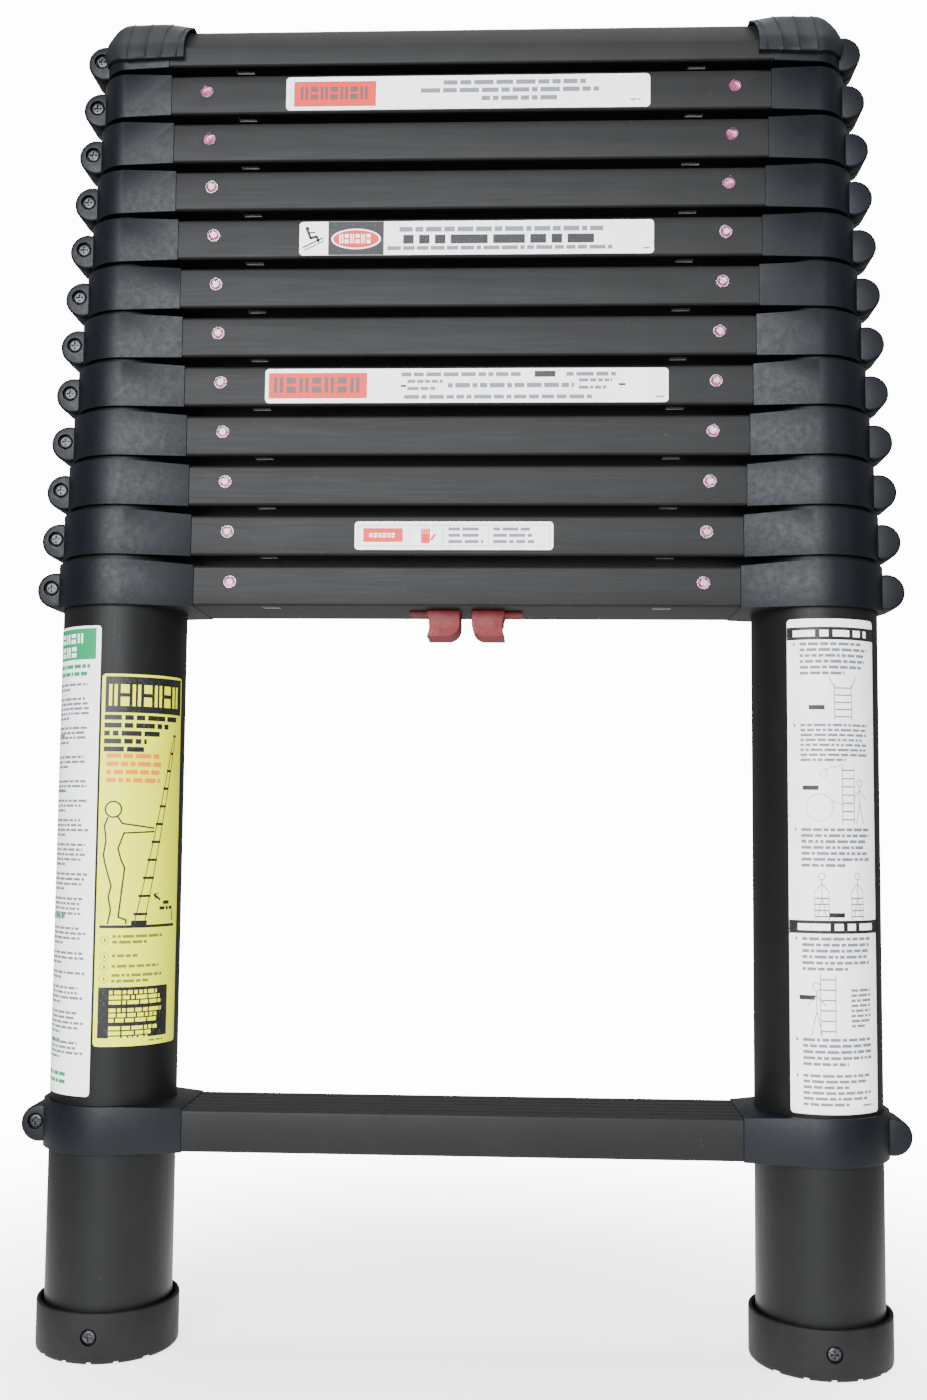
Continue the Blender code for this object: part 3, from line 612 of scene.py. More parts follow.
screw_seat_y = -EAR_HALF_DEPTH + COUNTERBORE_DEPTH
screw_pattern = make_screw_head("screw_pattern", 0, 0, 0)
for name, body, section, z, node in rungs:
    collar = make_collar(f"collar_{name}_left", tube_radius[section], z, name == "rung_13")
    other = copied(collar, f"collar_{name}_right", turned=True)
    head = copied(screw_pattern, f"clamp_screw_{name}_left",
                  (-AXIS_X - tube_radius[section] - SCREW_OFFSET, screw_seat_y, z + SCREW_RISE))
    other_head = copied(head, f"clamp_screw_{name}_right", turned=True)
    prefix = name.split("_")[0]
    for side, piece in (("left", collar), ("right", other)):
        fitted(piece, collar_plastic, body, "collar_nylon",
               f"{prefix}_collar_{side}" if section == 0 else node)
    for side, piece in (("left", head), ("right", other_head)):
        fitted(piece, black_steel, body, "screw_steel",
               *([f"{prefix}_clamp_screw_{side}"] if section == 0 else []))
bpy.data.objects.remove(screw_pattern)


# Lock windows --------------------------------------------------------------------------------
# A clear domed window snaps into the front of eleven rungs, one at each end. Behind it stands a
# pink flag that tells whether the lock is open, with pale spots painted on it as glints on the lens.
# A thin clear flange holds it in its hole.

LENS_DOME = 0.0010
FLANGE_PROUD = 0.0003
FLANGE_WIDTH = 0.0007
FLAG_DEPTH = 0.0009

lens_plastic = new_finish("clear_lens", Base_Color=(1.0, 0.93, 0.97, 1.0), Transmission_Weight=1.0,
                          IOR=1.49)
roughen(lens_plastic, grain(lens_plastic, 900.0), 0.03, 0.12)
flag_paint = new_finish("lock_flag", Specular_IOR_Level=0.6)
# The flag's colour runs from deep to light pink, and its palest spots are painted glints of the lens.
flag_mottle_and_painted_glints = grain(flag_paint, 420.0, detail=2.0)
colour(flag_paint, flag_mottle_and_painted_glints, (0.46, (0.26, 0.012, 0.10)), (0.60, (0.40, 0.05, 0.21)),
       (0.70, (0.85, 0.60, 0.76)))
roughen(flag_paint, flag_mottle_and_painted_glints, 0.25, 0.4)


def make_window(name, x, z):
    """The lens with its flange, and the flag behind it, as one piece with two materials."""
    front = -RUNG_DEPTH / 2
    lens = cylinder(name, WINDOW_RADIUS, (x, front + RUNG_WALL, z), (x, front - FLANGE_PROUD, z), 32)
    edit(lens, "FACE", lambda face: face.normal.y < -0.9)
    bpy.ops.mesh.inset(thickness=FLANGE_WIDTH)
    for share in (0.45, 0.35):
        bpy.ops.mesh.extrude_region_move(TRANSFORM_OT_translate={"value": (0, -LENS_DOME * share, 0)})
        bpy.ops.transform.resize(value=(0.8, 1.0, 0.8), center_override=(x, front, z))
    close_edit()
    lens.data.materials.append(lens_plastic)
    lens.data.materials.append(flag_paint)
    flag = cylinder("flag", WINDOW_RADIUS * 0.98, (x, front + RUNG_WALL + FLAG_DEPTH, z),
                    (x, front + RUNG_WALL + SEAM, z), 32)
    flag.data.materials.append(flag_paint)
    only(lens)
    flag.select_set(True)
    bpy.ops.object.join()
    return lens


for name, body, section, z, node in rungs[1:-1]:
    x = rung_end(section) + SEAM - WINDOW_INSET
    for side, direction in (("left", -1), ("right", 1)):
        window = make_window(f"lock_window_{name}_{side}", direction * x, z + WINDOW_RISE)
        fitted(window, None, body, "window_clear", *([f"indicator_window_{side}"] if section == 0 else []))


# Release buttons -----------------------------------------------------------------------------
# Two thumb buttons hang under the lock rung and pull its lock pins. Each is a matt red moulding
# with a hollowed outer side, a round inner corner and a thin tail that slides in the rung.

BUTTON_ROUNDING = 0.0007
BUTTON_CORNER = 0.0074
TAIL_LENGTH = 0.0100
TAIL_HEIGHT = 0.0018
TAIL_HALF_WIDTH = 0.0100
HOLLOW_RADIUS = 0.0150
HOLLOW_DEPTH = 0.0014
TAIL_OVERLAP = 0.002           # of the tail with the button's block
NECK_HALF_WIDTH = 0.005
NECK_START = 0.0006            # from the block's outer side, towards the middle
NECK_END = 0.0096

red_plastic = new_finish("red_moulding", Specular_IOR_Level=0.22)
patch = grain(red_plastic, 160.0, detail=3.0)
colour(red_plastic, patch, (0.3, (0.110, 0.005, 0.007)), (0.7, (0.150, 0.011, 0.013)))
roughen(red_plastic, grain(red_plastic, 500.0), 0.42, 0.58)
bumped(red_plastic, grain(red_plastic, 1600.0, detail=2.0), 0.00006)

low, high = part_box("release_button_left")
lock_z = rungs[1][3]
block_top = lock_z - SEAM
outer_x = low.x + TAIL_LENGTH
button = block("thumb_button_left", (outer_x, low.y, low.z), (high.x, high.y, block_top))
edit(button, "EDGE", lambda edge: all(corner.co.x > high.x - SEAM and corner.co.z < low.z + SEAM
                                      for corner in edge.verts))
bpy.ops.mesh.bevel(offset=BUTTON_CORNER, segments=8)
close_edit()
hollow_x = outer_x + HOLLOW_DEPTH - HOLLOW_RADIUS
hollow_z = (low.z + block_top - TAIL_HEIGHT) / 2
join_or_cut(button, cylinder("hollow", HOLLOW_RADIUS, (hollow_x, low.y - REACH_PAST, hollow_z),
                             (hollow_x, high.y + REACH_PAST, hollow_z)))
tail = block("tail", (low.x, -TAIL_HALF_WIDTH, block_top - TAIL_HEIGHT),
             (outer_x + TAIL_OVERLAP, TAIL_HALF_WIDTH, block_top))
join_or_cut(button, tail, "UNION")
round_edges(button, BUTTON_ROUNDING)
neck = block("neck", (outer_x + NECK_START, -NECK_HALF_WIDTH, low.z + BUTTON_CORNER),
             (outer_x + NECK_END, NECK_HALF_WIDTH, high.z))
join_or_cut(button, neck, "UNION")
other = copied(button, "thumb_button_right", turned=True)
fitted(button, red_plastic, "release_left", "release_red", "release_button_left")
fitted(other, red_plastic, "release_right", "release_red", "release_button_right")


# Lock pins and springs -----------------------------------------------------------------------
# Inside the lock rung a turned steel pin enters each outer tube, on the end of the rod that its
# button pulls, and a wire spring pushes it home. Both are bright zinc-plated steel. The real spring
# shortens when the button is pulled, but here it keeps one length.

plated_steel = new_finish("plated_steel", Metallic=1.0)
turning = grain(plated_steel, 700.0, (0.2, 1.0, 1.0))
colour(plated_steel, turning, (0.3, (0.42, 0.42, 0.44)), (0.7, (0.66, 0.66, 0.68)))
roughen(plated_steel, turning, 0.2, 0.36)
for node in ("lock_pin_left", "lock_pin_right", "lock_spring_left", "lock_spring_right"):
    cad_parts[node].data.materials.clear()
    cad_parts[node].data.materials.append(plated_steel)
for side in ("left", "right"):
    low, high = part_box("lock_spring_" + side)
    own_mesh(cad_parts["lock_spring_" + side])


# Feet ----------------------------------------------------------------------------------------
# A moulded rubber boot is pushed on the foot of each outer tube and held by one screw in front.
# Its rim stands clear of the tube, and its sole is cut across by five grooves.

RIM_WALL = 0.0024
RIM_DEPTH = 0.0050
BOOT_FIT = 0.0356              # radius of the boot's bore below its rim
FOOT_FLOOR = 0.0050
BOOT_ROUNDING = 0.0010
SOLE_CHAMFER = 0.0024
SOLE_PITCH = 0.0140
SOLE_GROOVE = 0.0032
SOLE_DEPTH = 0.0016
FOOT_SCREW_RISE = 0.0145
FOOT_RECESS = 0.0026

rubber = new_finish("black_rubber", Specular_IOR_Level=0.15)
dust = grain(rubber, 55.0, detail=5.0)
colour(rubber, dust, (0.35, (0.0038, 0.0038, 0.0040)), (0.75, (0.0090, 0.0090, 0.0090)))
roughen(rubber, dust, 0.55, 0.72)
bumped(rubber, grain(rubber, 1100.0, detail=3.0), 0.00010)


def make_boot(name, axis_x, radius, height):
    boot = cylinder(name, radius, (axis_x, 0, 0), (axis_x, 0, height))
    edit(boot, "EDGE", lambda edge: all(corner.co.z < SOLE_CHAMFER for corner in edge.verts))
    bpy.ops.mesh.bevel(offset=SOLE_CHAMFER, segments=3)
    close_edit()
    edit(boot, "FACE", lambda face: face.normal.z > 0.9)
    bpy.ops.mesh.inset(thickness=RIM_WALL)
    bpy.ops.mesh.extrude_region_move(TRANSFORM_OT_translate={"value": (0, 0, -RIM_DEPTH)})
    bpy.ops.mesh.inset(thickness=radius - RIM_WALL - BOOT_FIT)
    depth = height - RIM_DEPTH - FOOT_FLOOR
    bpy.ops.mesh.extrude_region_move(TRANSFORM_OT_translate={"value": (0, 0, -depth)})
    close_edit()
    edit(boot, "EDGE", lambda edge: all(corner.co.z > height - SEAM for corner in edge.verts))
    bpy.ops.mesh.bevel(offset=BOOT_ROUNDING, segments=3)
    close_edit()
    for i in range(-2, 3):
        x = axis_x + i * SOLE_PITCH
        join_or_cut(boot, block("groove", (x - SOLE_GROOVE / 2, -2 * radius, -REACH_PAST),
                                (x + SOLE_GROOVE / 2, 2 * radius, SOLE_DEPTH)))
    join_or_cut(boot, cylinder("recess", COUNTERBORE_RADIUS, (axis_x, -2 * radius, FOOT_SCREW_RISE),
                               (axis_x, -radius + FOOT_RECESS, FOOT_SCREW_RISE), 32))
    return boot


for side, axis_x in SIDES:
    low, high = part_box("foot_" + side)
    radius = (high.x - low.x) / 2
    boot = make_boot("rubber_boot_" + side, axis_x, radius, high.z)
    fitted(boot, rubber, "base", "foot_rubber", "foot_" + side)
    head = make_screw_head("boot_screw_" + side, axis_x, -radius + FOOT_RECESS, FOOT_SCREW_RISE)
    fitted(head, black_steel, "base", "screw_steel", "foot_screw_" + side)


# Corner caps ---------------------------------------------------------------------------------
# Soft rubber caps cover the two top corners, where the ladder leans on a wall. Each is moulded in
# one piece, with a well rounded back, four raised seams over it and a thin lip along its skirt.

CAP_WALL = 0.0040
CAP_PLAY = 0.0004
CAP_COVER = 0.0090             # how far it reaches along the rung beyond the collar
CAP_EDGE = 0.0028              # radius of the edge around its top
CAP_BACK_RUN = 0.0140          # the rounding of its back, along and down
CAP_BACK_DROP = 0.0175
CAP_SKIRT_LIFT = 0.0040        # of the skirt at the back, and how far it tucks in there
CAP_TUCK = 0.0028
CAP_FRONT_RUN = 0.0150         # the stretch over the rung that drops and flares
CAP_FRONT_DROP = 0.0040
CAP_FLARE = 0.0070
CAP_LIP_HEIGHT = 0.0013
CAP_LIP_PROUD = 0.0006
RIB_PLACES = (0.0044, 0.0133, 0.0227, 0.0334)
RIB_LEAN = -0.10
RIB_HALF_WIDTH = 0.0008
RIB_HEIGHT = 0.0006
SHAPE_CUTS = 8

cap_low, cap_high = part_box("corner_cap_left")
top_z = rungs[-1][3]
top_radius = tube_radius[-1]
end_x = -AXIS_X + top_radius + COLLAR_REACH + CAP_COVER
cap_top = cap_high.z - RIB_HEIGHT
cap_depth = cap_high.y - RIB_HEIGHT
back = -AXIS_X - cap_low.x
skirt = cap_low.z + SEAM / 2


def cut_through(height_cuts, plane_no, point):
    """Cuts all of the piece in edit mode by parallel planes, one for each height."""
    for height in height_cuts:
        bpy.ops.mesh.select_all(action="SELECT")
        bpy.ops.mesh.bisect(plane_co=point(height), plane_no=plane_no)


def shape_cap(co):
    """Rounds the cap's back, and drops and flares its end over the rung."""
    rise = min(1.0, max(0.0, (co.z - cap_top + CAP_BACK_DROP) / CAP_BACK_DROP))
    behind = min(1.0, max(0.0, (-AXIS_X - co.x) / back))
    fall = max(0.0, 1 - (co.z - cap_low.z) / CAP_BACK_DROP)
    ahead = min(1.0, max(0.0, (co.x - end_x + CAP_FRONT_RUN) / CAP_FRONT_RUN))
    over = min(1.0, max(0.0, (co.z - top_z - RUNG_HEIGHT) / (cap_top - top_z - RUNG_HEIGHT)))
    side = math.copysign(1.0, co.y)
    lip = CAP_LIP_PROUD if co.z < cap_low.z + CAP_LIP_HEIGHT + SEAM / 2 and co.x > -AXIS_X else 0.0
    leaning = max(0.0, co.z - top_z - CREASE) / (RUNG_HEIGHT - CREASE) * LEAN_BACK / (RUNG_DEPTH / 2)
    rounding = behind * (CAP_BACK_RUN * (1 - math.sqrt(1 - rise * rise)) + CAP_TUCK * fall * fall)
    return Vector((co.x + rounding + ahead * CAP_FLARE * rise ** 3, co.y * (1 - leaning) + side * lip,
                   co.z - ahead ** 1.6 * over * CAP_FRONT_DROP + behind * fall * CAP_SKIRT_LIFT))


cap = make_blank("corner_cap_rubber_left", top_radius, CAP_WALL - RIB_HEIGHT, cap_low.z, cap_top,
                 [(end_x, cap_depth, skirt), (end_x, cap_depth, cap_top - SEAM / 2)])
edit(cap, "EDGE", lambda edge: middle(edge).z > cap_top - SEAM)
bpy.ops.mesh.bevel(offset=CAP_EDGE, segments=5)
cut_through([CAP_BACK_DROP * (i / SHAPE_CUTS) ** 1.5 for i in range(1, SHAPE_CUTS + 1)], (0, 0, 1),
            lambda height: (0, 0, cap_top - height))
cut_through([CAP_LIP_HEIGHT, CAP_LIP_HEIGHT + SEAM], (0, 0, 1), lambda height: (0, 0, cap_low.z + height))
cut_through([CAP_FRONT_RUN * i / SHAPE_CUTS for i in range(1, SHAPE_CUTS)], (1, 0, 0),
            lambda height: (end_x - height, 0, 0))
cut_through([back * i / SHAPE_CUTS for i in range(SHAPE_CUTS)], (1, 0, 0),
            lambda height: (-AXIS_X - height, 0, 0))
cut_through([place + shift for place in RIB_PLACES for shift in (-RIB_HALF_WIDTH, 0.0, RIB_HALF_WIDTH)],
            (1, 0, RIB_LEAN), lambda height: (end_x - height, 0, cap_low.z))
rib_across = Vector((1, 0, RIB_LEAN)).normalized()
mesh = bmesh.from_edit_mesh(cap.data)
mesh.normal_update()
for corner in mesh.verts:
    for place in RIB_PLACES:
        if abs((corner.co - Vector((end_x - place, 0, cap_low.z))).dot(rib_across)) < SEAM / 4:
            corner.co += corner.normal * RIB_HEIGHT
for corner in mesh.verts:
    corner.co = shape_cap(corner.co)
bmesh.update_edit_mesh(cap.data)
close_edit()
room_end = -AXIS_X + top_radius + COLLAR_REACH + CAP_PLAY
room_depth = RUNG_DEPTH / 2 + COLLAR_PROUD + CAP_PLAY
room_low = top_z - REACH_PAST
rung_room_top = top_z + RUNG_HEIGHT + COLLAR_END_RISE + CAP_PLAY
rooms = [make_blank("room", top_radius, CAP_PLAY, room_low, top_z + COLLAR_HEIGHT + CAP_PLAY,
                    [(room_end, room_depth, room_low + SEAM / 2), (room_end, room_depth, rung_room_top)]),
         block("room", (room_end - REACH_PAST, -RUNG_DEPTH / 2 - CAP_PLAY, room_low),
               (end_x + 4 * REACH_PAST, RUNG_DEPTH / 2 + CAP_PLAY, top_z + RUNG_HEIGHT + CAP_PLAY))]
for room in rooms:
    lean_back(room, top_z)
    join_or_cut(cap, room)
ear_x = -AXIS_X - top_radius - EAR_OFFSET
join_or_cut(cap, block("room", (ear_x - 2 * EAR_RADIUS, -EAR_HALF_DEPTH - 2 * CAP_PLAY, room_low),
                       (ear_x + EAR_RADIUS / 2, EAR_HALF_DEPTH + 2 * CAP_PLAY,
                        top_z + EAR_RISE + EAR_RADIUS + 2 * CAP_PLAY)))
cap_rubber = new_finish("cap_rubber", Specular_IOR_Level=0.22)
bloom = grain(cap_rubber, 70.0, detail=5.0)
colour(cap_rubber, bloom, (0.35, (0.0060, 0.0075, 0.0095)), (0.75, (0.0110, 0.0130, 0.0155)))
roughen(cap_rubber, bloom, 0.50, 0.66)
bumped(cap_rubber, grain(cap_rubber, 1200.0, detail=3.0), 0.00008)
other = copied(cap, "corner_cap_rubber_right", turned=True)
fitted(cap, cap_rubber, "section_11", "foot_rubber", "corner_cap_left")
fitted(other, cap_rubber, "section_11", "foot_rubber", "corner_cap_right")


# Labels --------------------------------------------------------------------------------------
# Printed vinyl labels are stuck on the fronts of four rungs and around the outer tubes. Their
# wording is only hinted at with plain bars, and their figures are plain generic signs.

FILM = 0.00016                 # thickness of a label
INK = 0.00006                  # height of the print on it
LAYERS = 4                     # of print that can lie on one another
CELL = 0.0009                  # width of a letter in small greeked text
LABEL_CORNER = 0.0022
WRAP_STEP = 0.0015             # width of the flats that a label on a tube is made of

random.seed(12)


def label_film(name, color):
    finish = new_finish(name, Specular_IOR_Level=0.25)
    stain = grain(finish, 45.0, detail=5.0)
    dull = [channel * 0.90 for channel in color]
    colour(finish, stain, (0.30, dull), (0.50, color))
    roughen(finish, stain, 0.50, 0.36)
    bumped(finish, grain(finish, 220.0, detail=2.0), 0.00005)
    return finish


def ink(name, color):
    """Printed colour that has worn thin in places."""
    finish = new_finish(name, Specular_IOR_Level=0.2)
    rub = grain(finish, 700.0, detail=3.0)
    faded = [0.88 * channel + 0.06 for channel in color]
    colour(finish, rub, (0.55, color), (0.80, faded))
    roughen(finish, rub, 0.35, 0.5)
    return finish


white_film = label_film("white_film", (0.95, 0.95, 0.95))
yellow_film = label_film("yellow_film", (0.80, 0.84, 0.0))
black_ink = ink("black_ink", (0.010, 0.010, 0.011))
brown_ink = ink("brown_ink", (0.10, 0.055, 0.055))
grey_ink = ink("grey_ink", (0.15, 0.155, 0.18))
red_ink = ink("red_ink", (0.66, 0.020, 0.008))
green_ink = ink("green_ink", (0.0, 0.24, 0.085))
orange_ink = ink("orange_ink", (0.75, 0.22, 0.01))


def unit_grid(columns, rows, x, z, width, height, turn=0.0):
    """Adds an upright grid of cells to the sheet in edit mode, facing -Y, and gives its mesh."""
    bpy.ops.mesh.primitive_grid_add(x_subdivisions=columns, y_subdivisions=rows, size=1)
    mesh = bmesh.from_edit_mesh(bpy.context.object.data)
    lay = (Matrix.Translation((x, 0, z)) @ Matrix.Rotation(-turn, 4, "Y")
           @ Matrix.Rotation(math.pi / 2, 4, "X") @ Matrix.Diagonal((width, height, 1, 1)))
    bmesh.ops.transform(mesh, matrix=lay, verts=[corner for corner in mesh.verts if corner.select])
    return mesh


def bar(x, z, width, height, turn=0.0, cells=None):
    """A flat printed bar about a point of the sheet, in cells small enough to wrap a tube."""
    unit_grid(cells or max(1, round(width / (2 * CELL))), 1, x, z, width, height, turn)
    bmesh.update_edit_mesh(bpy.context.object.data)


def panel(x0, x1, z0, z1):
    bar((x0 + x1) / 2, (z0 + z1) / 2, x1 - x0, z1 - z0)


def strokes(*points, width=0.0009):
    """A printed line through points of the sheet."""
    for (x0, z0), (x1, z1) in zip(points, points[1:]):
        bar((x0 + x1) / 2, (z0 + z1) / 2, math.hypot(x1 - x0, z1 - z0) + width / 2, width,
            math.atan2(z1 - z0, x1 - x0))


def ring(x, z, radius, width=0.0005, squeeze=1.0):
    """A printed oval line. It is filled where the width is the radius."""
    bpy.ops.mesh.primitive_circle_add(vertices=28, radius=radius, fill_type="NGON",
                                      location=(x, 0, z), rotation=(math.pi / 2, 0, 0))
    bpy.ops.transform.resize(value=(1, 1, squeeze), center_override=(x, 0, z))
    if width < radius:
        bpy.ops.mesh.inset(thickness=width)
        bpy.ops.mesh.delete(type="FACE")


def frame_line(x0, x1, z0, z1, width=0.0004):
    strokes((x0, z0), (x1, z0), (x1, z1), (x0, z1), (x0, z0), width=width)


def word(x0, x1, z0, z1, letters):
    """A word of large type as upright bars, every second one with a notch in it."""
    pitch = (x1 - x0) / letters
    for i in range(letters):
        left = x0 + pitch * i
        if i % 2:
            panel(left, left + 0.72 * pitch, z0, z0 + 0.42 * (z1 - z0))
            panel(left, left + 0.72 * pitch, z0 + 0.60 * (z1 - z0), z1)
        else:
            panel(left, left + 0.26 * pitch, z0, z1)
            panel(left + 0.46 * pitch, left + 0.72 * pitch, z0, z1)


def text(x0, x1, z0, z1, lines=1, cell=CELL, last=1.0):
    """Lines of greeked words: a grid with every other row and the gaps between words left out."""
    columns = max(2, round((x1 - x0) / cell))
    rows = 2 * lines - 1
    mesh = unit_grid(columns, rows, (x0 + x1) / 2, (z0 + z1) / 2, x1 - x0, z1 - z0)
    gaps = set()
    for row in range(0, rows, 2):
        column = 0
        while column < columns:
            column += random.randint(2, 7)
            gaps.add((row, column))
            column += 1
        stop = round(columns * (last if row == 0 and lines > 1 else random.uniform(0.86, 1.0)))
        gaps.update((row, column) for column in range(stop, columns))
    for face in [face for face in mesh.faces if face.select]:
        place = middle(face)
        column = int((place.x - x0) / (x1 - x0) * columns)
        row = int((place.z - z0) / (z1 - z0) * rows)
        face.select_set(row % 2 == 1 or (row, column) in gaps)
    bmesh.update_edit_mesh(bpy.context.object.data)
    bpy.ops.mesh.delete(type="FACE")


def paragraph(x0, x1, top, pitch, lines, last=0.6):
    """A paragraph with its top at a height. Its letters are half as high as its lines are apart."""
    text(x0, x1, top - pitch * (lines - 0.5), top, lines, last=last)


def small_ladder(x, z0, z1, half_width, steps):
    """A plain drawing of a ladder."""
    for side in (-1, 1):
        strokes((x + side * half_width, z0), (x + side * half_width, z1), width=0.0004)
    for i in range(steps):
        z = z0 + (z1 - z0) * (i + 0.5) / steps
        strokes((x - half_width, z), (x + half_width, z), width=0.0007)


def small_figure(x, z, size):
    """A plain sign of a standing person, as tall as size."""
    ring(x, z + 0.92 * size, 0.08 * size, 0.0004)
    strokes((x, z + 0.84 * size), (x, z + 0.45 * size), (x - 0.10 * size, z), width=0.0004)
    strokes((x, z + 0.45 * size), (x + 0.10 * size, z), width=0.0004)
    strokes((x - 0.18 * size, z + 0.55 * size), (x, z + 0.76 * size),
            (x + 0.18 * size, z + 0.55 * size), width=0.0004)


def start_sheet():
    bpy.ops.object.select_all(action="DESELECT")
    bpy.ops.object.add(type="MESH", enter_editmode=True)
    bpy.ops.mesh.select_mode(type="FACE")


def end_sheet(name, finish, body, place, thickness=INK):
    """Gives the printed or cut sheet its thickness and lays it on the rung or tube by its place."""
    close_edit()
    sheet = named(name)
    apply_modifier(sheet, "SOLIDIFY", thickness=thickness, offset=1)
    for corner in sheet.data.vertices:
        corner.co = place(corner.co)
    fitted(sheet, finish, body, "sticker_film")


def on_rung(z, lift):
    """Places a sheet on a rung's front, its middle height at z."""
    return lambda co: Vector((co.x, co.y - RUNG_DEPTH / 2 - lift, co.z + z))


def on_tube(axis_x, lift):
    """Wraps a sheet around an outer tube. The sheet's x runs along the tube's skin from its front."""
    def place(co):
        reach = tube_radius[0] + lift - co.y
        turn = co.x / tube_radius[0]
        return Vector((axis_x + reach * math.sin(turn), -reach * math.cos(turn), co.z))
    return place


def label_sheet(name, x0, x1, z0, z1, finish, body, place, flats=1):
    """A label cut to size with round corners, folded into upright flats."""
    start_sheet()
    bar((x0 + x1) / 2, (z0 + z1) / 2, x1 - x0, z1 - z0, cells=1)
    bpy.ops.mesh.select_mode(type="VERT")
    bpy.ops.mesh.select_all(action="SELECT")
    bpy.ops.mesh.bevel(offset=LABEL_CORNER, segments=4, affect="VERTICES")
    for i in range(1, flats):
        bpy.ops.mesh.select_all(action="SELECT")
        bpy.ops.mesh.bisect(plane_co=(x0 + (x1 - x0) * i / flats, 0, 0), plane_no=(1, 0, 0))
    end_sheet(name, finish, body, place, FILM)


def rung_label(number, x0, x1, half_height):
    """The white film of a rung's label. It gives the body and the places of the layers of print."""
    body, z = rungs[number - 1][1], rungs[number - 1][3] + RUNG_HEIGHT / 2
    label_sheet(f"rung_{number}_label", x0, x1, -half_height, half_height, white_film, body, on_rung(z, 0))
    return body, [on_rung(z, FILM + layer * INK) for layer in range(LAYERS)]


def tube_label(name, axis_x, x0, x1, z0, z1, finish):
    """The film of a label on an outer tube. It gives the places of the layers of print."""
    label_sheet(name, x0, x1, z0, z1, finish, "base", on_tube(axis_x, 0), round((x1 - x0) / WRAP_STEP))
    return [on_tube(axis_x, FILM + layer * INK) for layer in range(LAYERS)]


body, layers = rung_label(12, -0.105, 0.103, 0.0098)
start_sheet()
panel(-0.1002, -0.0536, -0.0074, 0.0068)
end_sheet("rung_12_red_block", red_ink, body, layers[0])
start_sheet()
word(-0.0966, -0.0566, -0.0036, 0.0040, 7)
frame_line(-0.1002, -0.0536, -0.0074, 0.0068)
end_sheet("rung_12_block_print", brown_ink, body, layers[1])
start_sheet()
text(-0.0147, 0.0745, 0.0044, 0.0070, cell=0.0016)
text(-0.0277, 0.0868, -0.0002, 0.0024, cell=0.0016)
text(0.0072, 0.0518, -0.0050, -0.0024, cell=0.0016)
text(0.0916, 0.0985, -0.0058, -0.0050)
end_sheet("rung_12_print", grey_ink, body, layers[0])

body, layers = rung_label(9, -0.096, 0.105, 0.0098)
start_sheet()
panel(-0.0795, -0.0478, -0.0097, 0.0097)
end_sheet("rung_9_black_block", black_ink, body, layers[0])
start_sheet()
ring(-0.0636, -0.0004, 0.0142, 0.0142, 0.42)
end_sheet("rung_9_white_oval", white_film, body, layers[1])
start_sheet()
ring(-0.0636, -0.0004, 0.0131, 0.0131, 0.39)
end_sheet("rung_9_red_oval", red_ink, body, layers[2])
start_sheet()
word(-0.0732, -0.0545, -0.0030, 0.0024, 6)
end_sheet("rung_9_oval_print", white_film, body, layers[3])
start_sheet()
strokes((-0.0940, -0.0052), (-0.0826, 0.0004), width=0.0008)
strokes((-0.0932, -0.0068), (-0.0822, -0.0014), width=0.0006)
ring(-0.0915, 0.0058, 0.0012, 0.0012)
strokes((-0.0912, 0.0044), (-0.0896, 0.0002), (-0.0862, 0.0012), (-0.0850, -0.0016), width=0.0014)
strokes((-0.0908, 0.0034), (-0.0872, 0.0036), width=0.0008)
text(-0.0368, 0.0864, -0.0034, 0.0018, cell=0.0030)
end_sheet("rung_9_print", black_ink, body, layers[0])
start_sheet()
text(-0.0389, 0.0885, 0.0036, 0.0064, cell=0.0015)
text(-0.0458, 0.0947, -0.0070, -0.0048, cell=0.0013)
text(0.0988, 0.1036, -0.0070, -0.0062)
end_sheet("rung_9_fine_print", grey_ink, body, layers[0])

body, layers = rung_label(6, -0.114, 0.113, 0.0098)
start_sheet()
panel(-0.1120, -0.0562, -0.0072, 0.0074)
end_sheet("rung_6_red_block", red_ink, body, layers[0])
start_sheet()
word(-0.1090, -0.0585, -0.0040, 0.0048, 7)
end_sheet("rung_6_block_print", brown_ink, body, layers[1])
start_sheet()
text(-0.0368, 0.0360, 0.0053, 0.0075, cell=0.0014)
text(0.0560, 0.0892, 0.0053, 0.0075, cell=0.0014)
text(-0.0352, 0.0871, -0.0076, -0.0054, cell=0.0014)
for x0, x1, low in ((-0.0334, -0.0116, 0.0015), (-0.0334, -0.0160, -0.0026), (0.0630, 0.0844, 0.0020),
                    (0.0630, 0.0800, -0.0022)):
    text(x0, x1, low, low + 0.0018)
text(-0.0106, 0.0616, -0.0012, 0.0014, cell=0.0014)
text(0.1057, 0.1105, -0.0070, -0.0062)
end_sheet("rung_6_fine_print", grey_ink, body, layers[0])
start_sheet()
text(0.0382, 0.0527, 0.0048, 0.0082, cell=0.0028)
strokes((-0.0368, -0.0002), (-0.0345, -0.0002), width=0.0012)
strokes((0.0857, 0.0004), (0.0888, 0.0004), width=0.0012)
end_sheet("rung_6_print", black_ink, body, layers[0])

body, layers = rung_label(3, -0.062, 0.049, 0.0080)
start_sheet()
panel(-0.0572, -0.0350, -0.0036, 0.0042)
panel(-0.0248, -0.0198, -0.0042, 0.0012)
for i in range(4):
    panel(-0.0248 + 0.0013 * i, -0.0237 + 0.0013 * i, 0.0013, 0.0040)
strokes((-0.0190, -0.0022), (-0.0170, 0.0006), width=0.0013)
end_sheet("rung_3_red_print", red_ink, body, layers[0])
start_sheet()
word(-0.0538, -0.0388, -0.0011, 0.0015, 6)
end_sheet("rung_3_block_print", white_film, body, layers[1])
start_sheet()
for x0, x1 in ((-0.0600, 0.0470), (-0.0310, -0.0125), (-0.0125, 0.0130)):
    frame_line(x0, x1, -0.0058, 0.0058, 0.0002)
for x0, x1 in ((-0.0095, 0.0100), (0.0155, 0.0385)):
    text(x0, x1, -0.0042, 0.0046, 3, 0.0013)
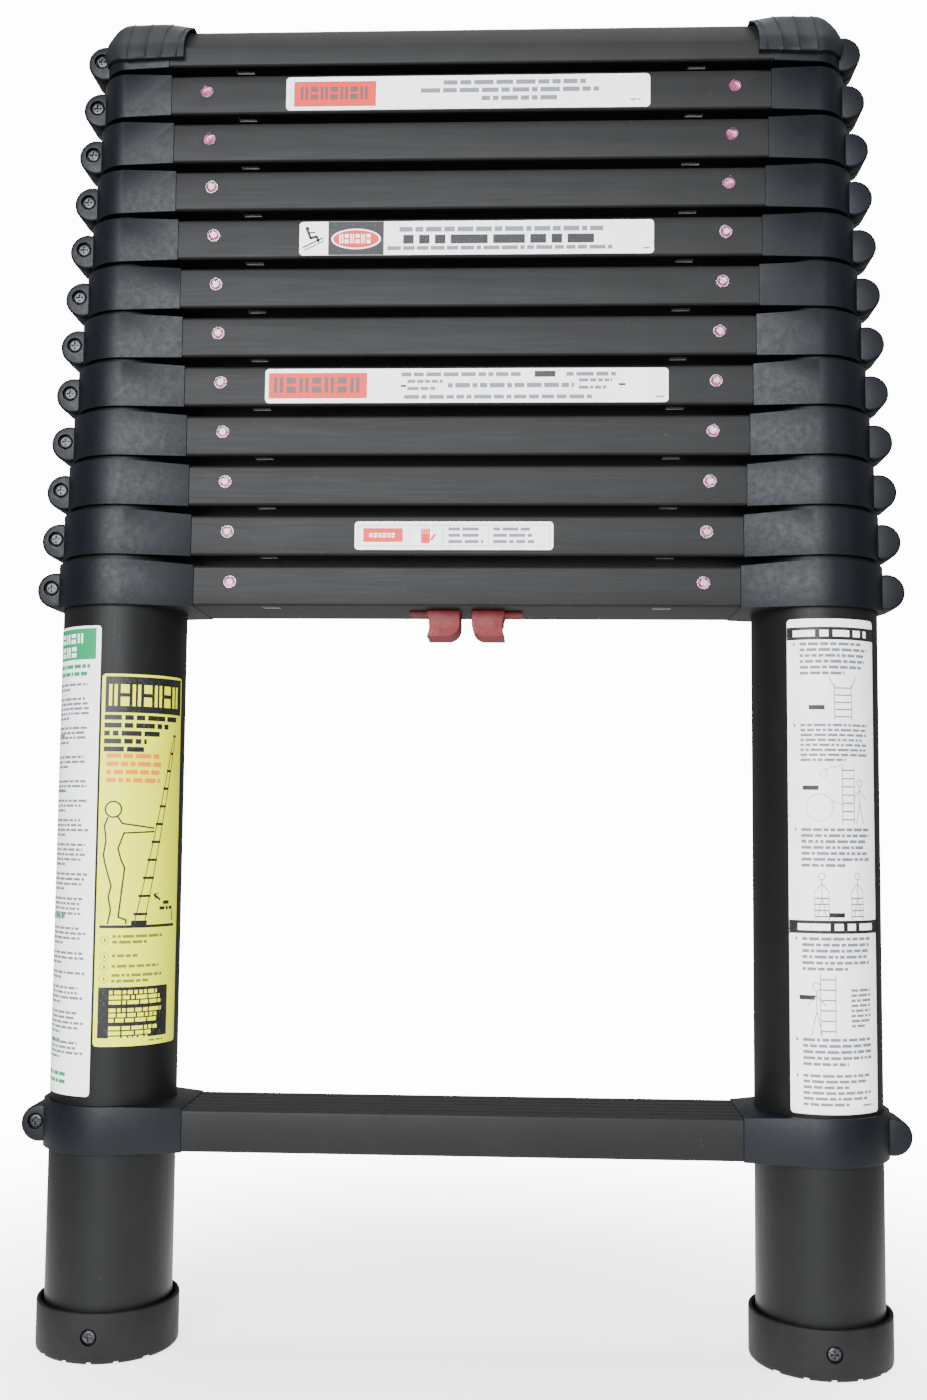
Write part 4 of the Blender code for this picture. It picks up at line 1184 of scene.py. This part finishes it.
end_sheet("rung_3_fine_print", grey_ink, body, layers[0])

layers = tube_label("left_tube_white_label", -AXIS_X, -0.0580, -0.0043, 0.140, 0.398, white_film)
start_sheet()
panel(-0.0565, -0.0072, 0.3792, 0.3966)
end_sheet("left_label_green_block", green_ink, "base", layers[0])
start_sheet()
word(-0.0540, -0.0144, 0.3884, 0.3939, 7)
word(-0.0540, -0.0192, 0.3806, 0.3865, 6)
end_sheet("left_label_block_print", white_film, "base", layers[1])
start_sheet()
top = 0.3660
while top > 0.158:
    lines = random.randint(2, 5)
    paragraph(-0.0540, -0.0080, top, 0.0027, lines)
    top -= 0.0027 * (lines + random.choice((1, 1, 2)))
end_sheet("left_label_fine_print", grey_ink, "base", layers[0])
start_sheet()
paragraph(-0.0540, -0.0080, 0.3765, 0.0042, 2, 0.9)
for top, right in ((0.3358, -0.0300), (0.3052, -0.0280), (0.2360, -0.0230), (0.1680, -0.0230)):
    text(-0.0540, right, top, top + 0.0018)
paragraph(-0.0540, -0.0170, 0.1520, 0.0040, 2, 0.9)
end_sheet("left_label_headings", green_ink, "base", layers[0])

layers = tube_label("left_tube_yellow_label", -AXIS_X, -0.0030, 0.0489, 0.167, 0.371, yellow_film)
start_sheet()
panel(-0.0010, 0.0477, 0.3495, 0.3696)
panel(-0.0007, 0.0403, 0.1715, 0.1990)
for i, right in enumerate((0.0450, 0.0365, 0.0350, 0.0239, 0.0224)):
    text(-0.0012, right, 0.3468 - 0.0044 * i - 0.0014, 0.3468 - 0.0044 * i + 0.0014, cell=0.0016)
ring(0.0050, 0.2960, 0.0048, 0.0009)
strokes((0.0022, 0.2915), (0.0004, 0.2870), (0.0014, 0.2790), (0.0002, 0.2710), (0.0012, 0.2660),
        (0.0048, 0.2540), (0.0034, 0.2480), (0.0048, 0.2410), (0.0034, 0.2335))
strokes((0.0076, 0.2918), (0.0100, 0.2882), (0.0281, 0.2857))
strokes((0.0281, 0.2838), (0.0110, 0.2830), (0.0080, 0.2745), (0.0098, 0.2680), (0.0118, 0.2640),
        (0.0090, 0.2370), (0.0132, 0.2355), (0.0132, 0.2335))
strokes((0.0178, 0.2340), (0.0412, 0.3375), width=0.0005)
strokes((0.0236, 0.2340), (0.0428, 0.3375), width=0.0005)
for i in range(11):
    share = i / 10
    x = 0.0212 + 0.0208 * share
    half = 0.0036 - 0.0028 * share
    strokes((x - half, 0.2385 + 0.0990 * share), (x + half, 0.2385 + 0.0990 * share), width=0.0014)
panel(0.0160, 0.0250, 0.2325, 0.2350)
panel(-0.0010, 0.0450, 0.2310, 0.2326)
strokes((0.0330, 0.2462), (0.0292, 0.2490), width=0.0012)
strokes((0.0306, 0.2466), (0.0290, 0.2492), (0.0318, 0.2496), width=0.0006)
strokes((0.0430, 0.2400), (0.0430, 0.2345), width=0.0008)
text(0.0355, 0.0410, 0.2435, 0.2455)
text(0.0330, 0.0440, 0.2405, 0.2423)
end_sheet("yellow_label_print", black_ink, "base", layers[0])
start_sheet()
word(0.0010, 0.0457, 0.3532, 0.3652, 7)
for i, right in enumerate((0.0360, 0.0372, 0.0350, 0.0365, 0.0370, 0.0340, 0.0355, 0.0325, 0.0290)):
    low = 0.1952 - 0.00275 * i - 0.0014 * (i // 3)
    text(0.0053, right, low, low + 0.0020)
end_sheet("yellow_label_block_print", yellow_film, "base", layers[1])
start_sheet()
for i, right in enumerate((0.0330, 0.0330, 0.0345, 0.0350)):
    text(0.0006, right, 0.3243 - 0.0045 * i, 0.3268 - 0.0045 * i, cell=0.0013)
end_sheet("yellow_label_orange_print", orange_ink, "base", layers[0])
start_sheet()
for z, lines, right in ((0.2245, 2, 0.0389), (0.2156, 1, 0.0210), (0.2099, 1, 0.0367), (0.2034, 2, 0.0400)):
    ring(0.0021, z, 0.0024, 0.0003)
    text(0.0017, 0.0027, z - 0.0010, z + 0.0010)
    paragraph(0.0062, right, z + 0.0016 * lines - 0.0004, 0.0031, lines)
text(0.0280, 0.0380, 0.1690, 0.1700)
end_sheet("yellow_label_fine_print", ink("olive_ink", (0.16, 0.17, 0.02)), "base", layers[0])

layers = tube_label("right_tube_white_label", AXIS_X, -0.0214, 0.0318, 0.137, 0.403, white_film)
start_sheet()
panel(-0.0213, 0.0317, 0.3915, 0.3985)
panel(-0.0213, 0.0317, 0.2325, 0.2395)
for x, z in ((-0.0054, 0.3545), (-0.0090, 0.3108), (0.0046, 0.2424), (-0.0117, 0.1985)):
    panel(x - 0.0042, x + 0.0042, z - 0.0012, z + 0.0012)
end_sheet("right_label_bands", black_ink, "base", layers[0])
start_sheet()
for z, left in ((0.3950, -0.0179), (0.2360, -0.0165)):
    text(left, 0.0275, z - 0.0018, z + 0.0018, cell=0.0024)
end_sheet("right_label_band_print", white_film, "base", layers[1])
start_sheet()
for top, pitch, lines in ((0.3900, 0.0032, 6), (0.3455, 0.0027, 8), (0.2890, 0.0032, 7), (0.2305, 0.0032, 6),
                          (0.1770, 0.0032, 5), (0.1580, 0.0030, 3), (0.1490, 0.0030, 3)):
    paragraph(-0.0142, 0.0265, top, pitch, lines)
for top in (0.3900, 0.3455, 0.2890, 0.2305, 0.1770, 0.1580):
    text(-0.0178, -0.0168, top - 0.0016, top)
paragraph(0.0120, 0.0262, 0.2030, 0.0027, 8)
text(0.0190, 0.0270, 0.1410, 0.1420)
end_sheet("right_label_fine_print", grey_ink, "base", layers[0])
start_sheet()
small_ladder(0.0092, 0.3475, 0.3670, 0.0050, 5)
strokes((0.0012, 0.3712), (0.0040, 0.3655), width=0.0004)
strokes((0.0172, 0.3712), (0.0144, 0.3655), width=0.0004)
small_ladder(0.0117, 0.2914, 0.3225, 0.0036, 7)
small_figure(0.0190, 0.2914, 0.0240)
ring(-0.0020, 0.3187, 0.0020, 0.0003)
ring(-0.0043, 0.3002, 0.0075, 0.0003)
strokes((-0.0020, 0.3207), (0.0092, 0.3237), width=0.0003)
strokes((0.0024, 0.3040), (0.0092, 0.3010), width=0.0003)
for x in (-0.0036, 0.0168):
    small_figure(x, 0.2410, 0.0240)
    small_ladder(x, 0.2400, 0.2530, 0.0038, 4)
small_ladder(-0.0008, 0.1780, 0.2108, 0.0040, 6)
small_figure(-0.0068, 0.1785, 0.0280)
end_sheet("right_label_drawings", grey_ink, "base", layers[0])
